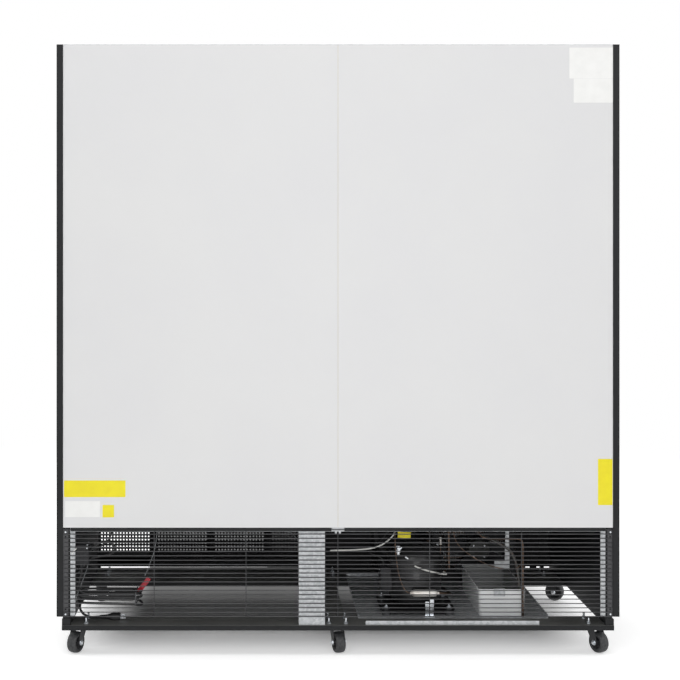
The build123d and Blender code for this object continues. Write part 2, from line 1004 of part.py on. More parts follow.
for name, middle in door_middles.items():
    save(build_door_frame(middle, pivots[name]), f"door_frame_{name}")
    save(build_door_glass(middle), f"door_glass_{name}")
    save(build_door_gasket(middle), f"door_gasket_{name}")
    save(build_door_handle(middle, door_hinge_sides[name]), f"door_handle_{name}")

# Shelf standards: slotted strips with their clips, on the walls and on the mullions
standard_top = shelf_first + (shelf_levels - 1) * shelf_pitch + standard_over
shelf_bottoms = [shelf_first + level * shelf_pitch for level in range(shelf_levels)]
outer_standard_x = cavity_x - standard_depth - clip_reach / 2
standard_pieces = []


def build_standard(x, y, facing):
    """One standard and its clips; facing is the direction in plan that the clips reach to."""
    across_x = abs(facing[1])
    across_y = abs(facing[0])
    with BuildPart() as standard:
        half_x = (standard_width * across_x + standard_depth * across_y) / 2
        half_y = (standard_width * across_y + standard_depth * across_x) / 2
        slab((x - half_x, x + half_x), (y - half_y, y + half_y), (standard_bottom, standard_top))
        for bottom in shelf_bottoms:
            clip_x_mid = x + facing[0] * (standard_depth + clip_reach) / 2
            clip_y_mid = y + facing[1] * (standard_depth + clip_reach) / 2
            clip_half_x = (clip_width * across_x + clip_reach * across_y) / 2
            clip_half_y = (clip_width * across_y + clip_reach * across_x) / 2
            slab(
                (clip_x_mid - clip_half_x, clip_x_mid + clip_half_x),
                (clip_y_mid - clip_half_y, clip_y_mid + clip_half_y),
                (bottom - clip_height, bottom),
            )
    return standard


rear_standard_y = cavity_rear_y - standard_depth / 2
front_standard_y = mullion_back_y + standard_depth / 2
front_wall_y = mullion_back_y + standard_depth + clip_reach / 2
for side in (-1, 1):
    standard_pieces.append(build_standard(side * outer_standard_x, rear_standard_y, (0, -1)))
    standard_pieces.append(build_standard(side * mullion_x, rear_standard_y, (0, -1)))
    standard_pieces.append(build_standard(side * mullion_x, front_standard_y, (0, 1)))
    wall_x = side * (cavity_x - standard_depth / 2)
    standard_pieces.append(build_standard(wall_x, front_wall_y, (-side, 0)))
save_group(standard_pieces, "shelf_standards")

# Wire shelves: each one a flat grid that rests on four clips
shelf_rear_y = cavity_rear_y - standard_depth - shelf_rear_gap
shelf_front_y = mullion_back_y + standard_depth + shelf_front_lap
outer_shelf_x = cavity_x - standard_depth - shelf_edge_gap / 2
shelf_spans = [
    (-outer_shelf_x, -mullion_x - shelf_edge_gap),
    (-mullion_x + shelf_edge_gap, mullion_x - shelf_edge_gap),
    (mullion_x + shelf_edge_gap, outer_shelf_x),
]
shelves = []
for left, right in shelf_spans:
    slot_pitch = (right - left - shelf_bar) / shelf_slots
    shelf_depth = shelf_rear_y - shelf_front_y
    for bottom in shelf_bottoms:
        with BuildPart() as shelf:
            with BuildSketch(Plane.XY.offset(bottom)):
                with Locations(((left + right) / 2, (shelf_front_y + shelf_rear_y) / 2)):
                    Rectangle(right - left, shelf_depth)
                    with GridLocations(slot_pitch, 1, shelf_slots, 1):
                        Rectangle(
                            slot_pitch - shelf_bar,
                            shelf_depth - 2 * shelf_bar,
                            mode=Mode.SUBTRACT,
                        )
            extrude(amount=shelf_thickness)
        shelves.append(shelf)
save_group(shelves, "wire_shelves")


# Fans and motors: a shaft is many-sided inside its running circle, and its bore outside it
def build_fan(x, y_rear, z, hub, reach, depth, shaft_end):
    """Hub with a flat for each blade, pitched blades and the shaft that runs into the motor."""
    chord = depth / sin(radians(blade_pitch)) * blade_share
    half_sweep = chord * cos(radians(blade_pitch)) / 2
    tip = (reach**2 - half_sweep**2) ** 0.5
    with BuildPart() as fan:
        with BuildSketch(upright(y_rear)):
            with Locations((x, z)):
                RegularPolygon(hub, 2 * fan_blades)
        extrude(amount=depth)
        for number in range(fan_blades):
            angle = 2 * pi * number / fan_blades
            outward = Vector(cos(angle), 0, sin(angle))
            root = Vector(x, y_rear - depth / 2, z) + outward * hub / 2
            with BuildSketch(Plane(origin=root, x_dir=(0, 1, 0), z_dir=outward)):
                Rectangle(chord, blade_thickness, rotation=90 - blade_pitch)
            extrude(amount=tip - hub / 2)
        with BuildSketch(upright(shaft_end)):
            with Locations((x, z)):
                RegularPolygon(shaft_radius, pin_sides)
        extrude(amount=shaft_end - y_rear + depth / 2)
    return fan


def build_motor(x, y_front, z, radius, length):
    """A round motor with a bore for the fan's shaft."""
    with BuildPart() as motor:
        with BuildSketch(upright(y_front + length)):
            with Locations((x, z)):
                Circle(radius)
        extrude(amount=length)
        with BuildSketch(upright(y_front + shaft_seat + body_gap)):
            with Locations((x, z)):
                RegularPolygon(shaft_radius + running_gap, pin_sides, major_radius=False)
        extrude(amount=shaft_seat + body_gap, mode=Mode.SUBTRACT)
    return motor


# Evaporator: coil under the ceiling, its cover with two fan openings, and the fan straps
cover_bottom = ceiling_z - cover_height
cover_rear = cavity_rear_y - cover_rear_gap
evaporator_fan_z = cover_bottom + cover_height / 2
evaporator_fan_rear = cover_front + skin + fan_tip_gap + evaporator_fan_depth
evaporator_motor_front = evaporator_fan_rear + strap_gap + frame_sheet
coil_rear = cavity_rear_y - coil_rear_gap
coil_low = ceiling_z - coil_height - skin

with BuildPart() as evaporator_cover:
    half_cover = cover_width / 2
    slab((-half_cover, half_cover), (cover_front, cover_rear), (cover_bottom, ceiling_z))
    slab(
        (-half_cover + skin, half_cover - skin),
        (cover_front + skin, cover_rear),
        (cover_bottom + skin, ceiling_z),
        mode=Mode.SUBTRACT,
    )
    with BuildSketch(upright(cover_front + skin)):
        with Locations((-evaporator_fan_x, evaporator_fan_z), (evaporator_fan_x, evaporator_fan_z)):
            RegularPolygon(
                evaporator_fan_radius + fan_tip_gap,
                2 * pin_sides,
                major_radius=False,
            )
    extrude(amount=skin, mode=Mode.SUBTRACT)
    with BuildSketch(upright(evaporator_motor_front)):
        with Locations((-evaporator_fan_x, evaporator_fan_z), (evaporator_fan_x, evaporator_fan_z)):
            Rectangle(strap_width, cover_height)
            RegularPolygon(shaft_radius + fan_tip_gap, 6, mode=Mode.SUBTRACT)
    extrude(amount=frame_sheet)
save(evaporator_cover, "evaporator_cover")

with BuildPart() as evaporator_coil:
    groove_pitch = coil_width / (coil_grooves + 1)
    coil_middle_y = coil_rear - coil_depth / 2
    with BuildSketch(Plane.XY.offset(coil_low)):
        with Locations((0, coil_middle_y)):
            Rectangle(coil_width, coil_depth)
        for edge_y in (coil_rear, coil_rear - coil_depth):
            with Locations((0, edge_y)):
                with GridLocations(groove_pitch, 1, coil_grooves, 1):
                    Rectangle(groove, 2 * groove, mode=Mode.SUBTRACT)
    extrude(amount=coil_height)
    for side in (-1, 1):
        slab(
            (side * coil_width / 2, side * (coil_width / 2 + frame_sheet)),
            (coil_rear - coil_depth, coil_rear),
            (coil_low, ceiling_z),
        )
save(evaporator_coil, "evaporator_coil")

for side, name in ((-1, "left"), (1, "right")):
    evaporator_fan = build_fan(
        side * evaporator_fan_x,
        evaporator_fan_rear,
        evaporator_fan_z,
        evaporator_fan_hub,
        evaporator_fan_radius,
        evaporator_fan_depth,
        evaporator_motor_front + shaft_seat,
    )
    save(evaporator_fan, f"evaporator_fan_{name}")

# Condensing unit: tray, rear strip, pan clip and hanger strap are one galvanised group
with BuildPart() as tray:
    slab((tray_left, tray_right), (tray_front, tray_rear), (base_top, base_top + tray_wall))
    slab(
        (tray_left + tray_sheet, tray_right - tray_sheet),
        (tray_front + tray_sheet, tray_rear + tray_sheet),
        (tray_top, base_top + 2 * tray_wall),
        mode=Mode.SUBTRACT,
    )

with BuildPart() as tray_strip:
    with BuildSketch(Plane.YZ.offset(strip_left)):
        with BuildLine():
            Polyline(
                (strip_rear, base_top),
                (strip_rear, base_top + strip_height),
                (strip_rear - tray_sheet, base_top + strip_height),
                (strip_rear - tray_sheet, base_top + tray_sheet),
                (strip_rear - strip_foot, base_top + tray_sheet),
                (strip_rear - strip_foot, base_top),
                close=True,
            )
        make_face()
    extrude(amount=strip_right - strip_left)

pan_top = tray_top + pan_height
with BuildPart() as pan_clip:
    with BuildSketch(Plane.YZ.offset(clip_x - pan_clip_width / 2)):
        with BuildLine():
            Polyline(
                (pan_rear, pan_top - pan_clip_drop),
                (pan_rear + tray_sheet, pan_top - pan_clip_drop),
                (pan_rear + tray_sheet, pan_top + tray_sheet),
                (pan_rear - pan_wall - 3 * tray_sheet, pan_top + tray_sheet),
                (pan_rear - pan_wall - 3 * tray_sheet, pan_top),
                (pan_rear, pan_top),
                close=True,
            )
        make_face()
    extrude(amount=pan_clip_width)

with BuildPart() as hanger:
    half_strap = hanger_width / 2
    half_foot = hanger_foot_width / 2
    with BuildSketch(upright(hanger_y)):
        with BuildLine():
            Polyline(
                (hanger_x - half_strap / 2, cabin_bottom),
                (hanger_x + half_strap / 2, cabin_bottom),
                (hanger_x + half_strap, hanger_foot_z + 2 * hanger_foot_height),
                (hanger_x + half_strap, hanger_foot_z + hanger_foot_height),
                (hanger_x - half_strap + hanger_foot_width, hanger_foot_z + hanger_foot_height),
                (hanger_x - half_strap + hanger_foot_width, hanger_foot_z),
                (hanger_x - half_strap, hanger_foot_z),
                (hanger_x - half_strap, hanger_foot_z + 2 * hanger_foot_height),
                close=True,
            )
        make_face()
    extrude(amount=tray_sheet)
save_group([tray, tray_strip, pan_clip, hanger], "unit_tray")

# Evaporation pan: drafted walls, bevelled corners, open at the top
pan_middle = ((pan_left + pan_right) / 2, pan_rear - pan_length / 2)
pan_plane = Plane(origin=(*pan_middle, pan_top), x_dir=(1, 0, 0), z_dir=(0, 0, -1))
with BuildPart() as evaporation_pan:
    with BuildSketch(pan_plane) as pan_outline:
        Rectangle(pan_right - pan_left, pan_length)
        chamfer(pan_outline.vertices(), pan_corner)
    extrude(amount=pan_height, taper=pan_draft)
    with BuildSketch(pan_plane) as pan_hollow:
        Rectangle(pan_right - pan_left - 2 * pan_wall, pan_length - 2 * pan_wall)
        chamfer(pan_hollow.vertices(), pan_corner - pan_wall)
    extrude(amount=pan_height - pan_wall, taper=pan_draft, mode=Mode.SUBTRACT)
save(evaporation_pan, "evaporation_pan")

# Compressor: a domed upper shell over a lower cup, on its foot plate and four rubber mounts
foot_z = tray_top + mount_height
with BuildPart() as compressor_shell:
    dome_x = compressor_radius - dome_radius
    cup_x = compressor_radius - shell_lap
    shell_plane = Plane(origin=(compressor_x, compressor_y, 0), x_dir=(1, 0, 0), z_dir=(0, -1, 0))
    with BuildSketch(shell_plane):
        with BuildLine():
            Polyline(
                (0, compressor_bottom),
                (cup_x - cup_slope, compressor_bottom),
                (cup_x, compressor_bottom + cup_slope),
                (cup_x, compressor_seam),
                (compressor_radius, compressor_seam),
                (compressor_radius, compressor_top - dome_radius),
            )
            RadiusArc(
                (compressor_radius, compressor_top - dome_radius),
                (dome_x, compressor_top),
                -dome_radius,
            )
            Polyline((dome_x, compressor_top), (0, compressor_top), (0, compressor_bottom))
        make_face()
    revolve(axis=Axis((compressor_x, compressor_y, 0), (0, 0, 1)))
    with BuildSketch(Plane.XY.offset(foot_z)) as foot_outline:
        with Locations((compressor_x, compressor_y)):
            Rectangle(2 * (foot_spread_x + foot_corner), 2 * (foot_spread_y + foot_corner))
        chamfer(foot_outline.vertices(), foot_corner)
    extrude(amount=compressor_foot)

compressor_pieces = [compressor_shell]
for dx in (-foot_spread_x, foot_spread_x):
    for dy in (-foot_spread_y, foot_spread_y):
        with BuildPart() as rubber_mount:
            with BuildSketch(Plane.XY.offset(tray_top)):
                with Locations((compressor_x + dx, compressor_y + dy)):
                    RegularPolygon(mount_radius, pin_sides)
            extrude(amount=mount_height, taper=mount_taper)
            with BuildSketch(Plane.XY.offset(foot_z + compressor_foot)):
                with Locations((compressor_x + dx, compressor_y + dy)):
                    RegularPolygon(mount_neck, 6)
            extrude(amount=mount_cap)
        compressor_pieces.append(rubber_mount)

terminal_x = compressor_x + compressor_radius - terminal_sink
terminal_top = terminal_z + terminal_height / 2
with BuildPart() as terminal_cover:
    with BuildSketch(Plane.YZ.offset(terminal_x)) as terminal_outline:
        with Locations((compressor_y, terminal_z)):
            Rectangle(terminal_width, terminal_height)
        chamfer(terminal_outline.vertices(), terminal_corner)
    extrude(amount=terminal_depth)
    add(compressor_shell.part, mode=Mode.SUBTRACT)
compressor_pieces.append(terminal_cover)
save_group(compressor_pieces, "compressor")

# Condenser: finned coil with end plates on the tray, and the shroud with its fan strap
condenser_front = tray_front + condenser_gap
condenser_rear = condenser_front + condenser_depth
condenser_left = condenser_x - condenser_width / 2
condenser_right = condenser_x + condenser_width / 2
condenser_z = tray_top + condenser_height / 2
shroud_rear = condenser_rear + shroud_depth
condenser_fan_rear = shroud_rear + shroud_gap + condenser_fan_depth
condenser_motor_front = condenser_fan_rear + strap_gap + frame_sheet
with BuildPart() as condenser_coil:
    fin_pitch = (condenser_width - 2 * frame_sheet) / (condenser_grooves + 1)
    with BuildSketch(Plane.XY.offset(tray_top + tray_sheet)):
        with Locations((condenser_x, (condenser_front + condenser_rear) / 2)):
            Rectangle(condenser_width - 2 * frame_sheet, condenser_depth)
        for edge_y in (condenser_front, condenser_rear):
            with Locations((condenser_x, edge_y)):
                with GridLocations(fin_pitch, 1, condenser_grooves, 1):
                    Rectangle(groove, groove, mode=Mode.SUBTRACT)
    extrude(amount=condenser_height - 2 * tray_sheet)
    for end_x, inward in ((condenser_left, 1), (condenser_right, -1)):
        slab(
            (end_x, end_x + inward * frame_sheet),
            (condenser_front, condenser_rear),
            (tray_top, tray_top + condenser_height),
        )

with BuildPart() as fan_shroud:
    with BuildSketch(upright(shroud_rear)):
        with Locations((condenser_x, condenser_z)):
            Rectangle(condenser_width, condenser_height)
    extrude(amount=shroud_depth)
    with BuildSketch(upright(shroud_rear - skin)):
        with Locations((condenser_x, condenser_z)):
            Rectangle(condenser_width - 2 * skin, condenser_height - 2 * skin)
    extrude(amount=shroud_depth, mode=Mode.SUBTRACT)
    with BuildSketch(upright(shroud_rear)):
        with Locations((condenser_x, condenser_z)):
            Circle(condenser_fan_radius + fan_tip_gap)
    extrude(amount=skin, mode=Mode.SUBTRACT)
    # The strap stands off the shroud on two legs and carries the motor
    strap_x = condenser_width / 2 - strap_width
    for side in (-1, 1):
        leg_x = condenser_x + side * strap_x
        slab(
            (leg_x - frame_sheet / 2, leg_x + frame_sheet / 2),
            (shroud_rear, condenser_motor_front - frame_sheet),
            (condenser_z - strap_width / 2, condenser_z + strap_width / 2),
        )
    with BuildSketch(upright(condenser_motor_front)):
        with Locations((condenser_x, condenser_z)):
            Rectangle(2 * strap_x + frame_sheet, strap_width)
            RegularPolygon(shaft_radius + fan_tip_gap, 6, mode=Mode.SUBTRACT)
    extrude(amount=frame_sheet)
save_group([condenser_coil, fan_shroud], "condenser")

condenser_fan = build_fan(
    condenser_x,
    condenser_fan_rear,
    condenser_z,
    condenser_fan_hub,
    condenser_fan_radius,
    condenser_fan_depth,
    condenser_motor_front + shaft_seat,
)
save(condenser_fan, "condenser_fan")

motors = [
    build_motor(
        side * evaporator_fan_x,
        evaporator_motor_front,
        evaporator_fan_z,
        evaporator_motor_radius,
        evaporator_motor_length,
    )
    for side in (-1, 1)
]
motors.append(
    build_motor(
        condenser_x,
        condenser_motor_front,
        condenser_z,
        condenser_motor_radius,
        condenser_motor_length,
    )
)
save_group(motors, "fan_motors")

# Pipework: filter drier, copper lines and the drain hose
with BuildPart() as filter_drier:
    half_drier = drier_length / 2
    with BuildSketch(Plane.YZ.offset(drier_x - half_drier)):
        with Locations((drier_y, drier_z)):
            Circle(drier_radius)
    extrude(amount=drier_length)
    with BuildSketch(Plane.YZ.offset(drier_x + half_drier)):
        with Locations((drier_y, drier_z)):
            RegularPolygon(drier_radius, pin_sides)
    extrude(amount=drier_cone, taper=drier_taper)
    with BuildSketch(Plane.YZ.offset(drier_x - half_drier - drier_neck)):
        with Locations((drier_y, drier_z)):
            RegularPolygon(line / 2 + skin, 6)
    extrude(amount=drier_neck)
drier_left = drier_x - half_drier - drier_neck
drier_right = drier_x + half_drier + drier_cone


def shell_point(angle, out, z):
    """A point beside the shell: its direction in plan, distance out from the wall, and height."""
    reach = compressor_radius + out
    turn = radians(angle)
    return (compressor_x + reach * cos(turn), compressor_y + reach * sin(turn), z)


copper_routes = [
    # liquid line, from the condenser's end plate to the drier
    [
        (condenser_right, condenser_rear - 20, tray_top + 40),
        (condenser_right + 36, condenser_rear - 20, tray_top + 40),
        (condenser_right + 36, condenser_rear + 90, tray_top + 38),
        (compressor_x - 131, compressor_y - 18, tray_top + 42),
        (drier_left - 33, drier_y, drier_z),
        (drier_left, drier_y, drier_z),
    ],
    # capillary, from the drier up to the ceiling
    [
        (drier_right, drier_y, drier_z),
        (drier_right + 20, drier_y, drier_z),
        (compressor_x + 79, drier_y - 20, drier_z + 107),
        (compressor_x + 79, drier_y - 20, cabin_bottom),
    ],
    # discharge line, from the shell to the condenser's top
    [
        shell_point(190, -2, compressor_seam - 10),
        shell_point(190, 24, compressor_seam - 10),
        (compressor_x - 137, compressor_y - 138, compressor_top - 22),
        (condenser_right + 32, condenser_rear + 80, tray_top + 246),
        (condenser_right + 32, condenser_rear - 24, tray_top + 246),
        (condenser_right, condenser_rear - 24, tray_top + 246),
    ],
    # suction line, from the ceiling to the shell
    [
        (compressor_x + 125, compressor_y - 68, cabin_bottom),
        (compressor_x + 125, compressor_y - 68, compressor_top + 36),
        (compressor_x + 121, compressor_y - 88, compressor_top - 18),
        shell_point(-40, 24, compressor_top - 54),
        shell_point(-40, -2, compressor_top - 54),
    ],
]
copper_lines = []
for number, route in enumerate(copper_routes):
    diameter = (line, thin_line, line, line)[number]
    with BuildPart() as copper_line:
        tube(route, diameter, line_sides)
        if number >= 2:
            add(compressor_shell.part, mode=Mode.SUBTRACT)
    copper_lines.append(copper_line)

hose_x = pan_left + pan_wall + hose + 6
with BuildPart() as drain_hose:
    tube(
        [
            (hose_x + 145, pan_rear - 61.5, cabin_bottom),
            (hose_x + 145, pan_rear - 61.5, cabin_bottom - 52.5),
            (hose_x + 77, pan_rear - 47.5, cabin_bottom - 74.5),
            (hose_x, pan_rear - 25.5, pan_top + 106),
            (hose_x, pan_rear - 25.5, pan_top - 20),
        ],
        hose,
        line_sides,
    )
save_group([filter_drier, *copper_lines, drain_hose], "pipework")

# Junction box on the right side frame, with the cord gland under it
box_wall_x = web_x - skin
box_x = box_wall_x - box_reach
with BuildPart() as junction_box:
    slab(
        (box_x, box_wall_x),
        (box_y - box_width / 2, box_y + box_width / 2),
        (box_bottom, box_bottom + box_height),
    )
    chamfer(junction_box.edges().filter_by(Axis.Y).group_by(Axis.X)[0], 4)
with BuildPart() as cord_gland:
    with BuildSketch(Plane.XY.offset(box_bottom - gland_nut)):
        with Locations((gland_x, box_y)):
            RegularPolygon(gland_radius + gland_collar, 6)
    extrude(amount=gland_nut)
    with BuildSketch(Plane.XY.offset(box_bottom - gland_height)):
        with Locations((gland_x, box_y)):
            RegularPolygon(gland_radius, pin_sides)
    extrude(amount=gland_height)
save_group([junction_box, cord_gland], "junction_box")

# Wiring: leads held at both ends
box_face_y = box_y - box_width / 2
wiring_routes = [
    # white lead, ceiling to the compressor's terminals
    [
        (compressor_x + 70, compressor_y - 88, cabin_bottom),
        (compressor_x + 70, compressor_y - 88, compressor_top + 22),
        (compressor_x + 133, compressor_y - 60, compressor_top - 28),
        (compressor_x + 159, compressor_y - 16, compressor_top - 38),
        (terminal_x + 25, compressor_y, compressor_top - 48),
        (terminal_x + 25, compressor_y, terminal_top),
    ],
    # grey lead, junction box down to the side frame
    [
        (web_x - 46, box_face_y, box_bottom + 23),
        (web_x - 46, box_face_y - 24, box_bottom + 23),
        (web_x - 24, box_face_y - 25, box_bottom - 51),
        (web_x, box_face_y - 25, box_bottom - 51),
    ],
    # black lead, junction box up to the ceiling
    [
        (box_x, box_y - 4, box_bottom + 43),
        (box_x - 26, box_y - 4, box_bottom + 43),
        (box_x - 70.5, box_y - 21, box_bottom + 75),
        (box_x - 70.5, box_y - 21, cabin_bottom),
    ],
]
leads = []
for route in wiring_routes:
    with BuildPart() as one_lead:
        tube(route, lead, line_sides)
    leads.append(one_lead)
save_group(leads, "wiring")

# Power cord: gland, free stretch, hank, tail and plug
hank_right = hank_left + hank_length
run_left = hank_left + hank_radius + cord / 2
run_right = hank_right - hank_radius - cord / 2
wide = hank_radius
middle = hank_radius - hank_pitch / 2
narrow = hank_radius - hank_pitch
half_turns = [
    (wide, False),
    (middle, False),
    (narrow, True),
    (middle, False),
    (wide, True),
    (middle, False),
    (narrow, True),
    (middle, False),
    (wide, False),
]
hank_y = guard_y + stay_wire - body_gap - cord / 2
hank_start = (hank_right - 53, hank_y, hank_top)

with BuildPart() as cord_hank:
    with BuildLine() as hank_path:
        here = hank_start
        going = -1
        turning = -1
        for radius, climbs in half_turns:
            run_end = run_left if going == -1 else run_right
            x, y, z = (run_end, here[1], here[2])
            Line(here, (x, y, z))
            ThreePointArc(
                (x, y, z),
                (x + going * radius, y + turning * radius, z),
                (x, y + turning * 2 * radius, z),
            )
            here = (x, y + turning * 2 * radius, z)
            going = -going
            turning = -turning
            if climbs:
                # The run dips to the next layer in an S of two equal arcs
                run_end = run_right if going == 1 else run_left
                dip_start = (x + going * cord, here[1], z)
                dip_end = (run_end - going * cord, here[1], z - hank_layer)
                dip_middle = ((dip_start[0] + dip_end[0]) / 2, here[1], z - hank_layer / 2)
                Line(here, dip_start)
                first_bend = TangentArc(dip_start, dip_middle, tangent=(going, 0, 0))
                TangentArc(dip_middle, dip_end, tangent=first_bend % 1)
                here = dip_end
        hank_end = (run_right - cord, here[1], here[2])
        Line(here, hank_end)
    with BuildSketch(Plane(origin=hank_start, z_dir=(-1, 0, 0))):
        RegularPolygon(cord / 2, cord_sides)
    sweep()
save(cord_hank, "cord_hank")

gland_low = box_bottom - gland_height
cord_points = [
    (gland_x, box_y, gland_low),
    (gland_x, box_y, gland_low - 15),
    (gland_x + 4, box_y + 3, gland_low - 30),
    (gland_x + 8, box_y + 11, gland_low - 46),
    (gland_x + 3, box_y + 22, hank_top + 10),
    (hank_start[0] + 24, hank_y, hank_top),
    hank_start,
]
plug_z = base_top + body_gap + plug_height / 2
cord_floor = base_top + body_gap + cord / 2
tail_points = [
    hank_end,
    (hank_end[0] + 20, hank_end[1], hank_end[2]),
    (hank_end[0] + 38, hank_end[1] - 2, hank_end[2] - 14),
    (hank_end[0] + 44, hank_end[1] - 5, hank_end[2] - 36),
    (hank_end[0] + 34, hank_end[1] - 8, cord_floor + 11),
    (hank_end[0] + 14, hank_end[1] - 6, cord_floor),
    (hank_end[0] - 8, hank_end[1], cord_floor + 1),
    (plug_x + 22, plug_y, plug_z),
    (plug_x, plug_y, plug_z),
]
with BuildPart() as power_cord:
    tube(cord_points, cord, cord_sides)
save(power_cord, "power_cord")
with BuildPart() as cord_tail:
    tube(tail_points, cord, cord_sides)
save(cord_tail, "cord_tail")

# Plug: a tapered body with two flat blades and a round earth pin
with BuildPart() as cord_plug:
    plug_plane = Plane(origin=(plug_x, plug_y, plug_z), x_dir=(0, 1, 0), z_dir=(-1, 0, 0))
    with BuildSketch(plug_plane) as plug_neck:
        Rectangle(cord + 2 * plug_collar, cord + 2 * plug_collar)
        chamfer(plug_neck.vertices(), plug_collar)
    with BuildSketch(plug_plane.offset(plug_length / 3)) as plug_body:
        Rectangle(plug_width, plug_height)
        chamfer(plug_body.vertices(), plug_corner)
    loft(ruled=True)
    extrude(plug_body.sketch, amount=plug_length * 2 / 3)
    with BuildSketch(plug_plane.offset(plug_length)):
        with Locations((-blade_spread, blade_rise), (blade_spread, blade_rise)):
            Rectangle(plug_blade, blade_width)
        with Locations((0, -earth_drop)):
            RegularPolygon(earth_radius, 6)
    extrude(amount=blade_length)
save(cord_plug, "cord_plug")


# Casters: plate with its raceway boss and kingpin, swivel fork with its axle, and wheel
under_flange = base_top - base_sheet
boss_top = under_flange - caster_plate
boss_bottom = boss_top - boss_height
crown_top = boss_bottom - body_gap
crown_bottom = crown_top - crown
wheel_radius = wheel_diameter / 2
half_wheel = wheel_width / 2
fork_half = half_wheel + arm_gap
caster_plates = []
for name, (x, y, yaw) in casters.items():
    across = Vector(cos(radians(yaw)), sin(radians(yaw)), 0)
    along = Vector(-sin(radians(yaw)), cos(radians(yaw)), 0)
    wheel_center = Vector(x, y, wheel_radius) + along * trail
    looking_down = Plane(origin=(x, y, 0), x_dir=across, z_dir=(0, 0, -1))

    with BuildPart() as caster_top:
        with BuildSketch(Plane(origin=(x, y, boss_top))) as plate_outline:
            Rectangle(caster_plate_x, caster_plate_y)
            chamfer(plate_outline.vertices(), caster_corner)
        extrude(amount=caster_plate)
        with BuildSketch(looking_down.offset(-boss_top)):
            RegularPolygon(boss_radius, pin_sides)
        extrude(amount=boss_height, taper=boss_taper)
        with BuildSketch(looking_down.offset(-boss_bottom)):
            RegularPolygon(kingpin_radius, pin_sides)
        extrude(amount=crown + 2 * body_gap)
        with BuildSketch(looking_down.offset(-crown_bottom + body_gap)):
            RegularPolygon(kingpin_head, 6)
        extrude(amount=kingpin_head_height)
    caster_plates.append(caster_top)

    with BuildPart() as caster_fork:
        with BuildSketch(looking_down.offset(-crown_top)) as crown_outline:
            Rectangle(2 * (fork_half + arm), crown_length)
            chamfer(crown_outline.vertices(), caster_corner)
            RegularPolygon(
                kingpin_radius + running_gap,
                pin_sides,
                major_radius=False,
                mode=Mode.SUBTRACT,
            )
        extrude(amount=crown)
        for side in (-1, 1):
            arm_origin = Vector(x, y, 0) + across * side * fork_half
            with BuildSketch(Plane(origin=arm_origin, x_dir=along, z_dir=across)):
                with BuildLine():
                    Polyline(
                        (-crown_length / 2 + caster_corner, crown_top),
                        (trail - arm_end, wheel_radius - arm_end / 3),
                        (trail - arm_end / 2, wheel_radius - arm_end),
                        (trail + arm_end / 2, wheel_radius - arm_end),
                        (trail + arm_end, wheel_radius - arm_end / 3),
                        (trail + arm_end, wheel_radius + arm_end),
                        (crown_length / 2 - caster_corner, crown_top),
                        close=True,
                    )
                make_face()
            extrude(amount=side * arm)
        axle_start = wheel_center - across * fork_half
        with BuildSketch(Plane(origin=axle_start, x_dir=along, z_dir=across)):
            RegularPolygon(axle_radius, pin_sides)
        extrude(amount=2 * fork_half)
    save(caster_fork, f"caster_fork_{name}")

    # The wheel is many-sided, with a flat under the axle, and bevelled at both shoulders
    with BuildPart() as caster_wheel:
        for side in (-1, 1):
            tread = Plane(origin=wheel_center, x_dir=along, z_dir=across * side)
            with BuildSketch(tread):
                RegularPolygon(
                    wheel_radius,
                    wheel_sides,
                    major_radius=False,
                    rotation=180 / wheel_sides,
                )
            extrude(amount=half_wheel - tread_shoulder)
            with BuildSketch(tread.offset(half_wheel - tread_shoulder)):
                RegularPolygon(
                    wheel_radius,
                    wheel_sides,
                    major_radius=False,
                    rotation=180 / wheel_sides,
                )
            extrude(amount=tread_shoulder, taper=shoulder_taper)
        bore_start = wheel_center - across * half_wheel
        with BuildSketch(Plane(origin=bore_start, x_dir=along, z_dir=across)):
            RegularPolygon(axle_radius + running_gap, pin_sides, major_radius=False)
        extrude(amount=wheel_width, mode=Mode.SUBTRACT)
    save(caster_wheel, f"caster_wheel_{name}")
save_group(caster_plates, "caster_plates")
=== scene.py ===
import json
import random
from math import cos, pi, radians, sin
import bmesh
import bpy
from mathutils import Matrix, Vector


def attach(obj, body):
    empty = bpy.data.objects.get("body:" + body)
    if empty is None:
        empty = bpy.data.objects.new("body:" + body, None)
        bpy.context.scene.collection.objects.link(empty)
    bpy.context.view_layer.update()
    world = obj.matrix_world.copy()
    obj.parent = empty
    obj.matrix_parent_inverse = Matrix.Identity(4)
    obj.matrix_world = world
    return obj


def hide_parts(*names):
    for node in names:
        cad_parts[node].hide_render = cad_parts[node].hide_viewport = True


# Glass door refrigerator on six casters, seen from behind. Sizes below are in millimetres unless they say metres.
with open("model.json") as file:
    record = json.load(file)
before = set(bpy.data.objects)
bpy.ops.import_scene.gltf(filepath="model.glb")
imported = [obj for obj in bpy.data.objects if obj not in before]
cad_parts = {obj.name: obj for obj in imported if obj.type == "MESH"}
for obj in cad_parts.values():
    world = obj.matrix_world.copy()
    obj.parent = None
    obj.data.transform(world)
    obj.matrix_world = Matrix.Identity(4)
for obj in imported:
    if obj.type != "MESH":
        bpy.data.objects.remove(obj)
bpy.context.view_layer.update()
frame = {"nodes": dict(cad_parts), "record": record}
nodes = frame["nodes"]
mm = 0.001
random.seed(11)


